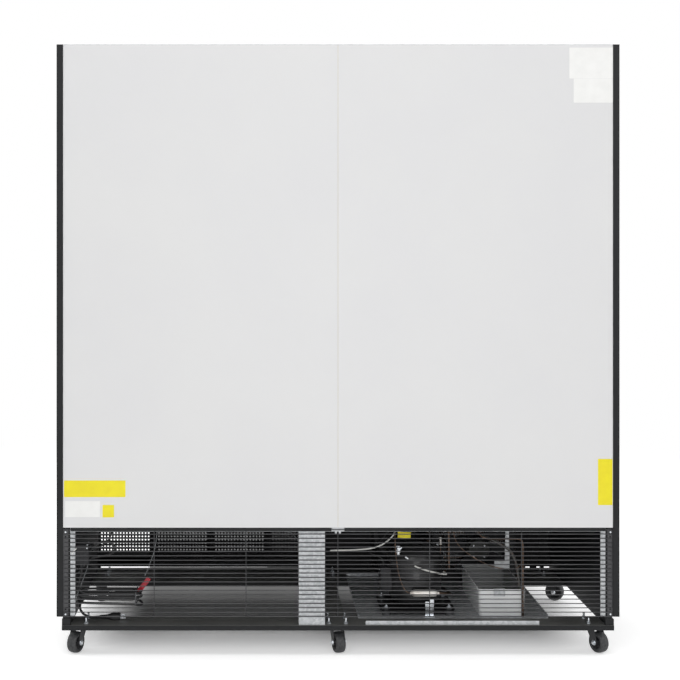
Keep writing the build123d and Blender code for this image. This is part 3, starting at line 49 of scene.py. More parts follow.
# Finishes. Each one is what the real surface is, with its pattern sizes in millimetres:
# patch is the size of the slow colour change, grain the size of the fine relief, height how deep that relief is.
finishes = {
    # polyester powder on steel, sprayed and baked: satin black with a fine orange peel
    "powderCoat": {"slot": "black_paint", "colour": "1c1d1f", "second": "18191a", "patch": 160,
                   "rough": (0.4, 0.54), "grain": 1.8, "height": 0.05, "specular": 0.22},
    # coil-coated steel sheet, painted on rollers before it is cut: flat light grey, barely wavy
    "coilCoat": {"slot": "grey_paint", "colour": "e1e1e1", "second": "dfdfe0", "patch": 320,
                 "rough": (0.45, 0.55), "grain": 3.0, "height": 0.012},
    # the same powder on the chassis, with every face that looks up painted lighter in patches: painted light falling
    # from above
    "paintedToplightCoat": {"slot": "black_paint", "colour": "1c1d1f", "second": "18191a", "patch": 160,
                  "rough": (0.42, 0.6), "grain": 1.8, "height": 0.05, "specular": 0.22, "paintedToplight": "6b6b69"},
    # the same powder on drawn wire: thick over the welds, a little glossier
    "guardWire": {"slot": "black_paint", "colour": "4a4a4c", "second": "3b3b3d", "patch": 60,
                  "rough": (0.3, 0.42), "grain": 1.6, "height": 0.04, "specular": 0.4},
    # e-coated pressed steel: thin black over a rolled surface
    "forkSteel": {"slot": "black_paint", "colour": "202123", "second": "2c2c2e", "patch": 22,
                  "rough": (0.3, 0.46), "grain": 1.2, "height": 0.03},
    # hot-dip galvanised sheet: zinc crystals about 8 mm across, each a slightly different grey
    "galvanised": {"slot": "galvanised", "colour": "bcbec0", "second": "a9acae", "patch": 8, "cells": True,
                   "rough": (0.4, 0.5), "metallic": 0.45, "grain": 8, "height": 0.006},
    # electroplated zinc on screws and bolts: bright, with a cold cast
    "brightZinc": {"slot": "galvanised", "colour": "dfe2e5", "second": "c3c8cd", "patch": 12,
                   "rough": (0.2, 0.34), "metallic": 1.0, "grain": 0.9, "height": 0.02},
    # white coated aluminium liner, embossed lightly so that it hides dents
    "linerWhite": {"slot": "white_metal", "colour": "e9e9e7", "second": "e2e3e1", "patch": 120,
                   "rough": (0.3, 0.42), "grain": 2.4, "height": 0.05},
    # bare aluminium fin stock, rolled thin: pale and streaky
    "finStock": {"slot": "fins", "colour": "cfd2d4", "second": "b4b8bb", "patch": 30,
                 "rough": (0.3, 0.45), "metallic": 1.0, "grain": 2.0, "height": 0.02, "stretch": (1, 1, 0.1)},
    # drawn copper tube, handled and brazed: warm, with brown heat marks
    "copperTube": {"slot": "copper", "colour": "6b594d", "second": "3b322c", "patch": 26,
                   "rough": (0.28, 0.45), "metallic": 1.0, "grain": 1.0, "height": 0.02},
    # spun copper with a tin wash: silvery, warm where it was brazed
    "platedCopper": {"slot": "copper", "colour": "e6e4e0", "second": "d3ccc4", "patch": 60,
                     "rough": (0.34, 0.46), "metallic": 0.45, "grain": 1.0, "height": 0.02},
    # soft PVC drain hose: grey, slightly see-through wall
    "softHose": {"slot": "copper", "colour": "4b4844", "second": "3d3a37", "patch": 30,
                 "rough": (0.3, 0.42), "grain": 1.4, "height": 0.03, "subsurface": 0.15},
    # rigid PVC extrusion for the door rails: close black grain along its length
    "extrudedVinyl": {"slot": "black_plastic", "colour": "1d1e20", "second": "27282a", "patch": 90,
                      "rough": (0.32, 0.44), "grain": 0.9, "height": 0.02, "stretch": (1, 1, 0.15)},
    # glass-filled nylon, injection moulded: dull black with a sparkle of fibre
    "mouldedNylon": {"slot": "black_plastic", "colour": "1b1b1d", "second": "2b2b2e", "patch": 14,
                     "rough": (0.48, 0.62), "grain": 0.8, "height": 0.04, "specular": 0.35},
    # die-cast aluminium, painted black: sandy skin
    "castHousing": {"slot": "motor_black", "colour": "242527", "second": "34352f", "patch": 9,
                    "rough": (0.5, 0.66), "grain": 1.4, "height": 0.12},
    # stoved enamel on the compressor's pressed shell: glossy black, a little dusty
    "stovedEnamel": {"slot": "compressor_black", "colour": "141416", "second": "242424", "patch": 60,
                     "rough": (0.24, 0.42), "grain": 2.2, "height": 0.03, "coat": 0.15, "specular": 0.3},
    # polypropylene pan, moulded: milky white with a soft sheen, its inner faces painted darker grey as the shade inside
    # the pan
    "milkyPolypropylene": {"slot": "pan_white", "colour": "f6f7f7", "second": "eceeee", "patch": 70,
                           "rough": (0.36, 0.48), "grain": 1.6, "height": 0.03,
                           "middle": (-553, 149.5, 150), "paintedShadeInside": "8b8c8c"},
    # float glass: clear, with a green body that shows at the edges
    "floatGlass": {"slot": "clear_glass", "colour": "fcfefd", "second": "fbfefc", "patch": 400,
                   "rough": (0.01, 0.02), "grain": 60, "height": 0.002, "transmission": 1.0, "ior": 1.52},
    # opal acrylic, extruded: even white, slightly translucent
    "opalAcrylic": {"slot": "lamp_white", "colour": "f1f1ee", "second": "ececea", "patch": 90,
                    "rough": (0.18, 0.26), "grain": 4, "height": 0.01, "subsurface": 0.3, "ior": 1.49},
    # polyester-coated shelf wire: smooth warm white
    "coatedWire": {"slot": "shelf_white", "colour": "e6e6e3", "second": "dcdcd9", "patch": 40,
                   "rough": (0.3, 0.42), "grain": 1.2, "height": 0.03},
    # soft PVC gasket: dull dark grey, chalky in the folds
    "softVinyl": {"slot": "seal_grey", "colour": "3b3c3e", "second": "494a4c", "patch": 20,
                  "rough": (0.6, 0.75), "grain": 0.9, "height": 0.04},
    # rubber cord jacket, extruded over twisted cores: dull black with faint rings
    "rubberJacket": {"slot": "cord_black", "colour": "161617", "second": "222223", "patch": 18,
                     "rough": (0.5, 0.66), "grain": 0.9, "height": 0.06},
    # moulded rubber tread: charcoal, scuffed paler where it rolls
    "rubberTread": {"slot": "wheel_black", "colour": "1f2022", "second": "3a3b3c", "patch": 7,
                    "rough": (0.5, 0.72), "grain": 1.0, "height": 0.12},
    # white PVC insulation on a lead
    "whiteInsulation": {"slot": "cord_black", "colour": "e8e8e4", "second": "d9d9d4", "patch": 16,
                        "rough": (0.4, 0.5), "grain": 0.9, "height": 0.02},
    # grey PVC insulation on a lead
    "greyInsulation": {"slot": "cord_black", "colour": "8d9092", "second": "7b7e80", "patch": 16,
                       "rough": (0.42, 0.52), "grain": 0.9, "height": 0.02},
    # natural nylon, moulded: the cable ties
    "naturalNylon": {"slot": "lamp_white", "colour": "e3e2da", "second": "d5d4cb", "patch": 10,
                     "rough": (0.35, 0.45), "grain": 0.7, "height": 0.02, "subsurface": 0.2},
    # printed film, left blank: white, yellow, red
    "whiteFilm": {"slot": "grey_paint", "colour": "f4f4f2", "second": "efefed", "patch": 30,
                  "rough": (0.35, 0.45), "grain": 1.2, "height": 0.01},
    "yellowFilm": {"slot": "grey_paint", "colour": "f3e512", "second": "ecdc10", "patch": 30,
                   "rough": (0.35, 0.45), "grain": 1.2, "height": 0.01},
    "redFilm": {"slot": "grey_paint", "colour": "b3182c", "second": "8f1022", "patch": 9,
                "rough": (0.4, 0.5), "grain": 1.2, "height": 0.04},
    # open-cell foam filter behind the vents: black and full of pores
    "foamFilter": {"slot": "black_plastic", "colour": "101011", "second": "242425", "patch": 3,
                   "rough": (0.8, 0.95), "grain": 2.0, "height": 0.5},
    # the same foam where it is one layer: light comes through its pores
    "foamVeil": {"slot": "black_plastic", "colour": "141415", "second": "242425", "patch": 3,
                 "rough": (0.8, 0.95), "grain": 2.0, "height": 0.4, "alpha": 0.6},
    "foamSheer": {"slot": "black_plastic", "colour": "141415", "second": "242425", "patch": 3,
                  "rough": (0.8, 0.95), "grain": 2.0, "height": 0.4, "alpha": 0.76},
    # rigid polyurethane foam between the skins
    "rigidFoam": {"slot": "foam", "colour": "dccf9f", "second": "cdbf8c", "patch": 12,
                  "rough": (0.8, 0.95), "grain": 1.5, "height": 0.2},
}


def linearColour(hexValue):
    channels = [int(hexValue[i:i + 2], 16) / 255 for i in (0, 2, 4)]
    return [c / 12.92 if c < 0.04045 else ((c + 0.055) / 1.055) ** 2.4 for c in channels] + [1]


def addNode(tree, kind, inputs=None, **settings):
    node = tree.nodes.new(kind)
    for key, value in settings.items():
        setattr(node, key, value)
    for key, value in (inputs or {}).items():
        if isinstance(value, bpy.types.NodeSocket):
            tree.links.new(value, node.inputs[key])
        else:
            node.inputs[key].default_value = value
    return node


def makeFinish(name, look):
    material = bpy.data.materials.new(name)
    material.use_nodes = True
    tree = material.node_tree
    shader = tree.nodes["Principled BSDF"]
    place = addNode(tree, "ShaderNodeTexCoord")
    spread = addNode(tree, "ShaderNodeMapping", {"Vector": place.outputs["Object"], "Scale": look.get("stretch", (1, 1, 1))})
    kind, result = ("ShaderNodeTexVoronoi", "Color") if look.get("cells") else ("ShaderNodeTexNoise", "Fac")
    patches = addNode(tree, kind, {"Vector": spread.outputs[0], "Scale": 1000 / look["patch"]})
    grain = addNode(tree, kind, {"Vector": spread.outputs[0], "Scale": 1000 / look["grain"]})
    blend = addNode(tree, "ShaderNodeMapRange", {"Value": patches.outputs[result], "From Min": 0.3, "From Max": 0.7})
    tint = addNode(tree, "ShaderNodeMix", {"Factor": blend.outputs[0]}, data_type="RGBA")
    tint.inputs["A"].default_value = linearColour(look["colour"])
    tint.inputs["B"].default_value = linearColour(look["second"])
    base = tint.outputs["Result"]
    # painted light: faces that look up are mixed in patches towards a lighter grey, as if lit from above
    if "paintedToplight" in look:
        facing = addNode(tree, "ShaderNodeNewGeometry")
        upward = addNode(tree, "ShaderNodeSeparateXYZ", {0: facing.outputs["Normal"]})
        upwardMask = addNode(tree, "ShaderNodeMapRange", {"Value": upward.outputs["Z"], "From Min": 0.5, "From Max": 0.95})
        uneven = addNode(tree, "ShaderNodeMapRange", {"Value": patches.outputs[result], "From Min": 0.2, "From Max": 0.6,
                                                      "To Min": 0.7})
        amount = addNode(tree, "ShaderNodeMath", {0: upwardMask.outputs[0], 1: uneven.outputs[0]}, operation="MULTIPLY")
        toplitBase = addNode(tree, "ShaderNodeMix", {"Factor": amount.outputs[0], "A": base}, data_type="RGBA")
        toplitBase.inputs["B"].default_value = linearColour(look["paintedToplight"])
        base = toplitBase.outputs["Result"]
    # painted shade: faces turned in towards the middle point are mixed to a darker grey, the shade inside the pan
    if "paintedShadeInside" in look:
        inward = addNode(tree, "ShaderNodeVectorMath", {0: [v * mm for v in look["middle"]], 1: place.outputs["Object"]},
                         operation="SUBTRACT")
        facing = addNode(tree, "ShaderNodeNewGeometry")
        turned = addNode(tree, "ShaderNodeVectorMath", {0: inward.outputs[0], 1: facing.outputs["Normal"]}, operation="DOT_PRODUCT")
        inwardMask = addNode(tree, "ShaderNodeMapRange", {"Value": turned.outputs["Value"], "From Min": 0, "From Max": 4 * mm})
        shadedInside = addNode(tree, "ShaderNodeMix", {"Factor": inwardMask.outputs[0], "A": base}, data_type="RGBA")
        shadedInside.inputs["B"].default_value = linearColour(look["paintedShadeInside"])
        base = shadedInside.outputs["Result"]
    low, high = look["rough"]
    sheen = addNode(tree, "ShaderNodeMapRange",
                    {"Value": grain.outputs[result], "From Min": 0.3, "From Max": 0.7, "To Min": low, "To Max": high})
    relief = addNode(tree, "ShaderNodeBump", {"Height": grain.outputs[result], "Distance": look["height"] * mm})
    tree.links.new(base, shader.inputs["Base Color"])
    tree.links.new(sheen.outputs[0], shader.inputs["Roughness"])
    tree.links.new(relief.outputs[0], shader.inputs["Normal"])
    shader.inputs["Metallic"].default_value = look.get("metallic", 0)
    if not look.get("metallic"):
        shader.inputs["IOR"].default_value = look.get("ior", 1.5)
    shader.inputs["Specular IOR Level"].default_value = look.get("specular", 0.5)
    shader.inputs["Coat Weight"].default_value = look.get("coat", 0)
    shader.inputs["Transmission Weight"].default_value = look.get("transmission", 0)
    shader.inputs["Subsurface Weight"].default_value = look.get("subsurface", 0)
    shader.inputs["Subsurface Scale"].default_value = 4 * mm
    shader.inputs["Alpha"].default_value = look.get("alpha", 1)
    return material


materials = {name: makeFinish(name, look) for name, look in finishes.items()}
print("finishes made:", len(materials))


# Mesh tools. They take millimetres, and makePiece turns the whole mesh to metres.
def axesAt(origin, direction):
    z = Vector(direction).normalized()
    helper = Vector((0, 0, 1)) if abs(z.z) < 0.9 else Vector((1, 0, 0))
    x = helper.cross(z).normalized()
    place = Matrix((x, z.cross(x), z)).transposed().to_4x4()
    place.translation = Vector(origin)
    return place


def addBox(bm, low, high, place=None):
    low, high = Vector(low), Vector(high)
    shape = Matrix.Translation((low + high) / 2) @ Matrix.Diagonal((*(high - low), 1))
    bmesh.ops.create_cube(bm, size=1, matrix=(place or Matrix()) @ shape)


def addTurned(bm, origin, direction, profile, sides=24, place=None):
    # profile is (radius, height) up the axis; a radius of 0 closes an end
    place = (place or Matrix()) @ axesAt(origin, direction)
    rings = []
    for radius, height in profile:
        turns = [2 * pi * i / sides for i in range(sides)] if radius else [0]
        rings.append([bm.verts.new(place @ Vector((radius * cos(a), radius * sin(a), height))) for a in turns])
    for low, high in zip(rings, rings[1:]):
        for i in range(sides):
            j = (i + 1) % sides
            loop = [low[i % len(low)], low[j % len(low)], high[j % len(high)], high[i % len(high)]]
            loop = list(dict.fromkeys(loop))
            if len(loop) > 2:
                bm.faces.new(loop)


def addRod(bm, start, end, radius, sides=10, place=None):
    length = (Vector(end) - Vector(start)).length
    edge = min(radius, length) * 0.15
    profile = [(0, 0), (radius - edge, 0), (radius, edge), (radius, length - edge), (radius - edge, length), (0, length)]
    addTurned(bm, start, Vector(end) - Vector(start), profile, sides, place)


def addPrism(bm, outline, place, depth):
    low = [bm.verts.new(place @ Vector((x, y, 0))) for x, y in outline]
    high = [bm.verts.new(place @ Vector((x, y, depth))) for x, y in outline]
    bm.faces.new(low[::-1])
    bm.faces.new(high)
    for i in range(len(outline)):
        j = (i + 1) % len(outline)
        bm.faces.new((low[i], low[j], high[j], high[i]))


def addPlate(bm, outline, holes, place, thickness):
    # a flat sheet with any number of holes, filled as a 2D curve
    curve = bpy.data.curves.new("plate", "CURVE")
    curve.dimensions, curve.fill_mode, curve.extrude = "2D", "BOTH", thickness / 2
    for loop in [outline, *holes]:
        spline = curve.splines.new("POLY")
        spline.points.add(len(loop) - 1)
        for knot, (x, y) in zip(spline.points, loop):
            knot.co = (x, y, 0, 1)
        spline.use_cyclic_u = True
    carrier = bpy.data.objects.new("plate", curve)
    mesh = bpy.data.meshes.new_from_object(carrier)
    mesh.transform(place @ Matrix.Translation((0, 0, thickness / 2)))
    bm.from_mesh(mesh)
    bpy.data.objects.remove(carrier)
    bpy.data.meshes.remove(mesh)
    bpy.data.curves.remove(curve)


def addSweep(bm, path, section, normal, closed=True):
    # section is (out, up) pairs: out lies in the path's plane, square to it, and up is along normal
    normal = Vector(normal)
    path = [Vector(p) for p in path]
    rings = []
    for i, here in enumerate(path):
        before = path[i - 1] if closed or i else here * 2 - path[1]
        after = path[(i + 1) % len(path)] if closed or i < len(path) - 1 else here * 2 - path[i - 1]
        into, out = (here - before).normalized(), (after - here).normalized()
        side = (into + out).normalized().cross(normal)
        stretch = 1 / max(0.3, side.dot(into.cross(normal)))
        rings.append([bm.verts.new(here + side * u * stretch + normal * v) for u, v in section])
    for low, high in zip(rings, rings[1:] + ([rings[0]] if closed else [])):
        for i in range(len(section)):
            j = (i + 1) % len(section)
            bm.faces.new((low[i], low[j], high[j], high[i]))
    if not closed:
        bm.faces.new(rings[0][::-1])
        bm.faces.new(rings[-1])


def circle(radius, sides, x=0, y=0, start=0):
    return [(x + radius * cos(2 * pi * i / sides + start), y + radius * sin(2 * pi * i / sides + start)) for i in range(sides)]


def roundedRect(width, height, radius, x=0, y=0, steps=4):
    corners = ((1, 1, 0), (-1, 1, 90), (-1, -1, 180), (1, -1, 270))
    return [(x + sx * (width / 2 - radius) + radius * cos(radians(start + 90 * k / steps)),
             y + sy * (height / 2 - radius) + radius * sin(radians(start + 90 * k / steps)))
            for sx, sy, start in corners for k in range(steps + 1)]


def upright(y, x=0, z=0):
    # a place whose X runs right and Y runs up, seen from the front, with depth growing to the front
    place = Matrix(((1, 0, 0), (0, 0, -1), (0, 1, 0))).to_4x4()
    place.translation = Vector((x, y, z))
    return place


def addHexHead(bm, origin, direction, across=13, height=5, shank=0, place=None):
    addTurned(bm, origin, direction, [(0, 0), (across * 0.577, 0), (across * 0.577, height * 0.85),
                                      (across * 0.5, height), (0, height)], 6, place)
    if shank:
        start = Vector(origin) + Vector(direction).normalized() * height * 0.9
        addRod(bm, start, start + Vector(direction).normalized() * shank, across * 0.3, 12, place)


def addScrew(bm, origin, direction, radius=4, place=None):
    # pan head with a cross recess
    addTurned(bm, origin, direction, [(0, 0), (radius, 0), (radius, radius * 0.2), (radius * 0.8, radius * 0.5),
                                      (radius * 0.3, radius * 0.6), (radius * 0.2, radius * 0.3), (0, radius * 0.3)], 12, place)


def makePiece(bm, name, finish, body="cabinet", stands=(), bevel=0, smooth=38):
    bmesh.ops.remove_doubles(bm, verts=bm.verts, dist=0.001)
    bmesh.ops.recalc_face_normals(bm, faces=bm.faces)
    bm.transform(Matrix.Scale(mm, 4))
    for edge in bm.edges:
        edge.smooth = edge.calc_face_angle(0) < radians(smooth)
    for face in bm.faces:
        face.smooth = True
    mesh = bpy.data.meshes.new(name)
    bm.to_mesh(mesh)
    bm.free()
    mesh.materials.append(materials[finish])
    piece = bpy.data.objects.new(name, mesh)
    bpy.context.scene.collection.objects.link(piece)
    if bevel:
        edges = piece.modifiers.new("edges", "BEVEL")
        edges.width, edges.segments, edges.limit_method, edges.angle_limit = bevel * mm, 2, "ANGLE", radians(40)
    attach(piece, body)
    if stands:
        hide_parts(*stands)
    return piece


def makeLine(name, points, diameter, finish, body="cabinet", stands=()):
    # a smooth round line whose control points are given in millimetres
    curve = bpy.data.curves.new(name, "CURVE")
    curve.dimensions = "3D"
    curve.bevel_depth, curve.bevel_resolution, curve.use_fill_caps = diameter / 2 * mm, 4, True
    spline = curve.splines.new("NURBS")
    spline.points.add(len(points) - 1)
    for knot, spot in zip(spline.points, points):
        knot.co = (*(Vector(spot) * mm), 1)
    spline.order_u = 3
    spline.use_endpoint_u = True
    spline.resolution_u = 6
    curve.materials.append(materials[finish])
    line = bpy.data.objects.new(name, curve)
    bpy.context.scene.collection.objects.link(line)
    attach(line, body)
    if stands:
        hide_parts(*stands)
    return line


def dress(finish, *names):
    for name in names:
        nodes[name].data.materials.clear()
        nodes[name].data.materials.append(materials[finish])


# Camera, behind the cabinet and a little to its right
cameraPlan = {"x": 286, "y": 4256.5, "z": 1280, "pixelsPerMetre": 307.8, "distance": 3.85,
              "picture": 680, "eyeColumn": 250, "eyeRow": 262}
lens = bpy.data.cameras.new("camera")
lens.sensor_width = 36
lens.lens = cameraPlan["pixelsPerMetre"] * cameraPlan["distance"] / cameraPlan["picture"] * lens.sensor_width
lens.shift_x = 0.5 - cameraPlan["eyeColumn"] / cameraPlan["picture"]
lens.shift_y = cameraPlan["eyeRow"] / cameraPlan["picture"] - 0.5
camera = bpy.data.objects.new("camera", lens)
camera.location = Vector((cameraPlan["x"], cameraPlan["y"], cameraPlan["z"])) * mm
camera.rotation_euler = (radians(90), 0, radians(180))
bpy.context.scene.collection.objects.link(camera)
bpy.context.scene.camera = camera
bpy.context.scene.view_settings.view_transform = "Standard"


# Studio: a white sweep of floor, an even sky and three softboxes
studio = {"skyLevel": 0.3, "floorReach": 9.0, "floorLift": (0.01, 0.42), "liftEdge": 0.3,
          # paper: the floor's colour in the open and under the cabinet, where it is a painted shadow
          "coverHalf": (0.66, 0.23, 0), "coverOffset": (0, 0.18, 0), "paper": {"open": 0.92, "paintedShadow": 0.3}, "whiteFrom": 2.4, "whiteTo": 4.5,
          # where each softbox hangs, its width in metres and its power
          "softboxes": {"rearKey": ((1.7, 5.0, 4.2), 3.2, 58), "rearFill": ((-2.4, 4.8, 3.2), 2.6, 30),
                        "rearLow": ((-0.3, 5.4, 1.1), 2.4, 44),
                        "overhead": ((0, 0.6, 5.2), 4.0, 95), "frontKey": ((1.8, -4.8, 3.6), 3.2, 80),
                        "frontFill": ((-2.6, -4.4, 2.8), 2.6, 40), "leftSide": ((-5.2, 0, 2.8), 2.8, 55),
                        "rightSide": ((5.2, 0, 2.8), 2.8, 65)}}


def addSeenWhite(tree):
    # 1 for what the camera sees straight, in a reflection or through glass
    path = addNode(tree, "ShaderNodeLightPath")
    mirrored = addNode(tree, "ShaderNodeMath", {0: path.outputs["Is Camera Ray"], 1: path.outputs["Is Glossy Ray"]},
                       operation="ADD")
    return addNode(tree, "ShaderNodeMath", {0: mirrored.outputs[0], 1: path.outputs["Is Transmission Ray"]},
                   operation="ADD", use_clamp=True)


world = bpy.data.worlds.new("studioSky")
bpy.context.scene.world = world
world.use_nodes = True
sky = world.node_tree
sky.nodes.clear()
seen = addSeenWhite(sky)
dayLight = addNode(sky, "ShaderNodeBackground", {"Color": (1, 1, 1, 1), "Strength": studio["skyLevel"]})
backdrop = addNode(sky, "ShaderNodeBackground", {"Color": (1, 1, 1, 1), "Strength": 1.0})
mixedSky = addNode(sky, "ShaderNodeMixShader", {0: seen.outputs[0], 1: dayLight.outputs[0], 2: backdrop.outputs[0]})
addNode(sky, "ShaderNodeOutputWorld", {"Surface": mixedSky.outputs[0]})

floorPaper = bpy.data.materials.new("mattPaperFloor")  # matt seamless paper: keeps the shadow, has a painted shadow in its own colour under the cabinet, fades to white far off
floorPaper.use_nodes = True
paper = floorPaper.node_tree
paper.nodes.clear()
seen = addSeenWhite(paper)
spot = addNode(paper, "ShaderNodeTexCoord")
moved = addNode(paper, "ShaderNodeVectorMath", {0: spot.outputs["Object"], 1: studio["coverOffset"]}, operation="ADD")
mirrored = addNode(paper, "ShaderNodeVectorMath", {0: moved.outputs[0]}, operation="ABSOLUTE")
outside = addNode(paper, "ShaderNodeVectorMath", {0: mirrored.outputs[0], 1: studio["coverHalf"]}, operation="SUBTRACT")
clipped = addNode(paper, "ShaderNodeVectorMath", {0: outside.outputs[0], 1: (0, 0, 0)}, operation="MAXIMUM")
beside = addNode(paper, "ShaderNodeVectorMath", {0: clipped.outputs[0]}, operation="LENGTH")
lifted = addNode(paper, "ShaderNodeMapRange", {"Value": beside.outputs["Value"], "From Max": studio["liftEdge"],
                                               "To Min": studio["floorLift"][0], "To Max": studio["floorLift"][1]},
                 interpolation_type="SMOOTHSTEP")  # low under the cabinet, so the bay stays dark
# painted shadow: the paper's colour falls from near white to dark grey under the cabinet's footprint
under = addNode(paper, "ShaderNodeMapRange", {"Value": beside.outputs["Value"], "From Max": 0.12,
                                              "To Min": studio["paper"]["paintedShadow"], "To Max": studio["paper"]["open"]},
                interpolation_type="SMOOTHSTEP")
matt = addNode(paper, "ShaderNodeBsdfDiffuse", {"Color": under.outputs[0]})
liftStrength = addNode(paper, "ShaderNodeMath", {0: seen.outputs[0], 1: lifted.outputs[0]}, operation="MULTIPLY")
lift = addNode(paper, "ShaderNodeEmission", {"Color": (1, 1, 1, 1), "Strength": liftStrength.outputs[0]})
near = addNode(paper, "ShaderNodeAddShader", {0: matt.outputs[0], 1: lift.outputs[0]})
white = addNode(paper, "ShaderNodeEmission", {"Color": (1, 1, 1, 1), "Strength": 1.0})
away = addNode(paper, "ShaderNodeVectorMath", {0: spot.outputs["Object"]}, operation="LENGTH")
fade = addNode(paper, "ShaderNodeMapRange", {"Value": away.outputs["Value"], "From Min": studio["whiteFrom"],
                                             "From Max": studio["whiteTo"]}, interpolation_type="SMOOTHSTEP")
fadeSeen = addNode(paper, "ShaderNodeMath", {0: fade.outputs[0], 1: seen.outputs[0]}, operation="MULTIPLY")
finalPaper = addNode(paper, "ShaderNodeMixShader", {0: fadeSeen.outputs[0], 1: near.outputs[0], 2: white.outputs[0]})
addNode(paper, "ShaderNodeOutputMaterial", {"Surface": finalPaper.outputs[0]})

bm = bmesh.new()
bmesh.ops.create_circle(bm, cap_ends=True, segments=96, radius=studio["floorReach"])
mesh = bpy.data.meshes.new("studioFloor")
bm.to_mesh(mesh)
bm.free()
mesh.materials.append(floorPaper)
studioFloor = bpy.data.objects.new("studioFloor", mesh)
bpy.context.scene.collection.objects.link(studioFloor)

for name, (spotAt, size, watts) in studio["softboxes"].items():
    softbox = bpy.data.lights.new(name, "AREA")
    softbox.shape, softbox.size, softbox.size_y, softbox.energy = "RECTANGLE", size, size * 0.7, watts
    holder = bpy.data.objects.new(name, softbox)
    holder.location = spotAt
    holder.rotation_euler = (Vector((0, 0, 0.9)) - Vector(spotAt)).to_track_quat("-Z", "Y").to_euler()
    bpy.context.scene.collection.objects.link(holder)
print("camera, floor and lights set")

# Power cord: out of the gland, into a long hank on its side, then the tail to the plug on the base rail
cordPlan = {"diameter": 8, "length": 2.47, "exit": (840, 366, 273), "leftEnd": 682, "rightEnd": 816, "top": 199,
            "layer": 10,
            "fromGland": [(840, 366, 273), (840, 366, 258), (844, 369, 243), (848, 377, 227), (843, 388, 209),
                          (824, 396.3, 199), (800, 396.3, 199)],
            # each half turn: its radius, whether the next run drops a layer, how far its end slips out, and how low it hangs
            "halfTurns": [(33, False, 6, 0), (28.7, False, 3, -1), (24.4, True, -3, -2), (28.7, False, 4, 1),
                          (33, True, 7, -5), (28.7, False, -2, 2), (24.4, True, -5, -3), (28.7, False, 2, 1),
                          (33, False, 9, -12)],
            "tail": [(808, 330.3, 169), (828, 330.3, 169), (846, 328.3, 155), (852, 325.3, 133), (842, 322.3, 113.3),
                     (822, 324.3, 102.3), (800, 330.3, 103.3), (780, 338, 108.3), (758, 338, 108.3)]}


def layHank(plan):
    # every half turn gets six points round its end; the runs between them stay free
    points = []
    x, y, z = plan["fromGland"][-1]
    going = turning = -1
    for radius, drops, slip, hang in plan["halfTurns"]:
        end = (plan["leftEnd"] if going < 0 else plan["rightEnd"]) + going * slip
        reach = radius / cos(radians(15))
        for angle in range(15, 180, 30):
            a = radians(angle)
            points.append((end + going * reach * sin(a), y + turning * (radius - reach * cos(a)), z + hang * sin(a)))
        x, y = end, y + turning * 2 * radius
        going, turning = -going, -turning
        if drops:
            points.append((x + going * 38, y, z))
            z -= plan["layer"]
            far = plan["leftEnd"] if going < 0 else plan["rightEnd"]
            points.append((far - going * 38, y, z))
    return points


cordPoints = cordPlan["fromGland"] + layHank(cordPlan) + cordPlan["tail"]
powerCord = makeLine("powerCordLine", cordPoints, cordPlan["diameter"], "rubberJacket",
                     stands=("power_cord", "cord_hank", "cord_tail"))

plugPlan = {"back": 758, "y": 338, "z": 108.3, "length": 44, "width": 26, "height": 20, "blade": (18, 6.4, 1.6)}
bm = bmesh.new()
ribs = [(0, 6.5, 6), (6, 8.5, 7.4), (10, 10.5, 8.6), (15, 12.5, 9.6), (18, 13, 10), (40, 13, 10), (42.5, 12.2, 9.2),
        (44, 11.6, 8.6)]
rings = []
for along, halfWide, halfHigh in ribs:
    loop = roundedRect(2 * halfWide, 2 * halfHigh, min(halfWide, halfHigh) * 0.55)
    rings.append([bm.verts.new((plugPlan["back"] - along, plugPlan["y"] + u, plugPlan["z"] + v)) for u, v in loop])
for low, high in zip(rings, rings[1:]):
    for i in range(len(low)):
        j = (i + 1) % len(low)
        bm.faces.new((low[i], low[j], high[j], high[i]))
bm.faces.new(rings[0])
bm.faces.new(rings[-1])
for k in range(4):  # finger grips moulded in both sides
    for side in (-1, 1):
        x = plugPlan["back"] - 21 - 4.5 * k
        addBox(bm, (x - 1.1, plugPlan["y"] + side * 12.6 - 0.5, plugPlan["z"] - 7),
               (x + 1.1, plugPlan["y"] + side * 12.6 + 0.35, plugPlan["z"] + 7))
plugBody = makePiece(bm, "plugBody", "rubberJacket", stands=("cord_plug",))
bm = bmesh.new()
bladeLong, bladeHigh, bladeThick = plugPlan["blade"]
nose = plugPlan["back"] - plugPlan["length"]
for side in (-1, 1):
    blade = [(-bladeHigh / 2, -1), (bladeHigh / 2, -1), (bladeHigh / 2, bladeLong - 2), (bladeHigh / 2 - 1.4, bladeLong),
             (-bladeHigh / 2 + 1.4, bladeLong), (-bladeHigh / 2, bladeLong - 2)]
    place = Matrix(((0, -1, 0), (0, 0, 1), (1, 0, 0))).to_4x4()
    place.translation = Vector((nose, plugPlan["y"] + side * 6.5 - bladeThick / 2, plugPlan["z"] - 3))
    addPrism(bm, blade, place, bladeThick)
addTurned(bm, (nose + 1, plugPlan["y"], plugPlan["z"] + 5), (-1, 0, 0),
          [(0, 0), (2.4, 0), (2.4, 15), (1.9, 17.6), (0.8, 18.8), (0, 19)], 20)
plugPins = makePiece(bm, "plugPins", "brightZinc", bevel=0.2)

reliefPlan = {"ribs": 6}
bm = bmesh.new()


def addRelief(bm, start, direction, wide, narrow, length, ribs):
    # tapered sleeve with grooves between its ribs
    profile = [(narrow * 0.6, 0), (wide, 0)]
    for k in range(ribs):
        radius = wide + (narrow - wide) * (k + 0.5) / ribs
        low, high = length * k / ribs, length * (k + 1) / ribs
        profile += [(radius, low + 0.15 * (high - low)), (radius, low + 0.65 * (high - low)),
                    (radius - 0.8, low + 0.72 * (high - low)), (radius - 0.8, high)]
    profile += [(narrow * 0.6, length), (narrow * 0.6, 0)]
    addTurned(bm, start, direction, profile, 24)


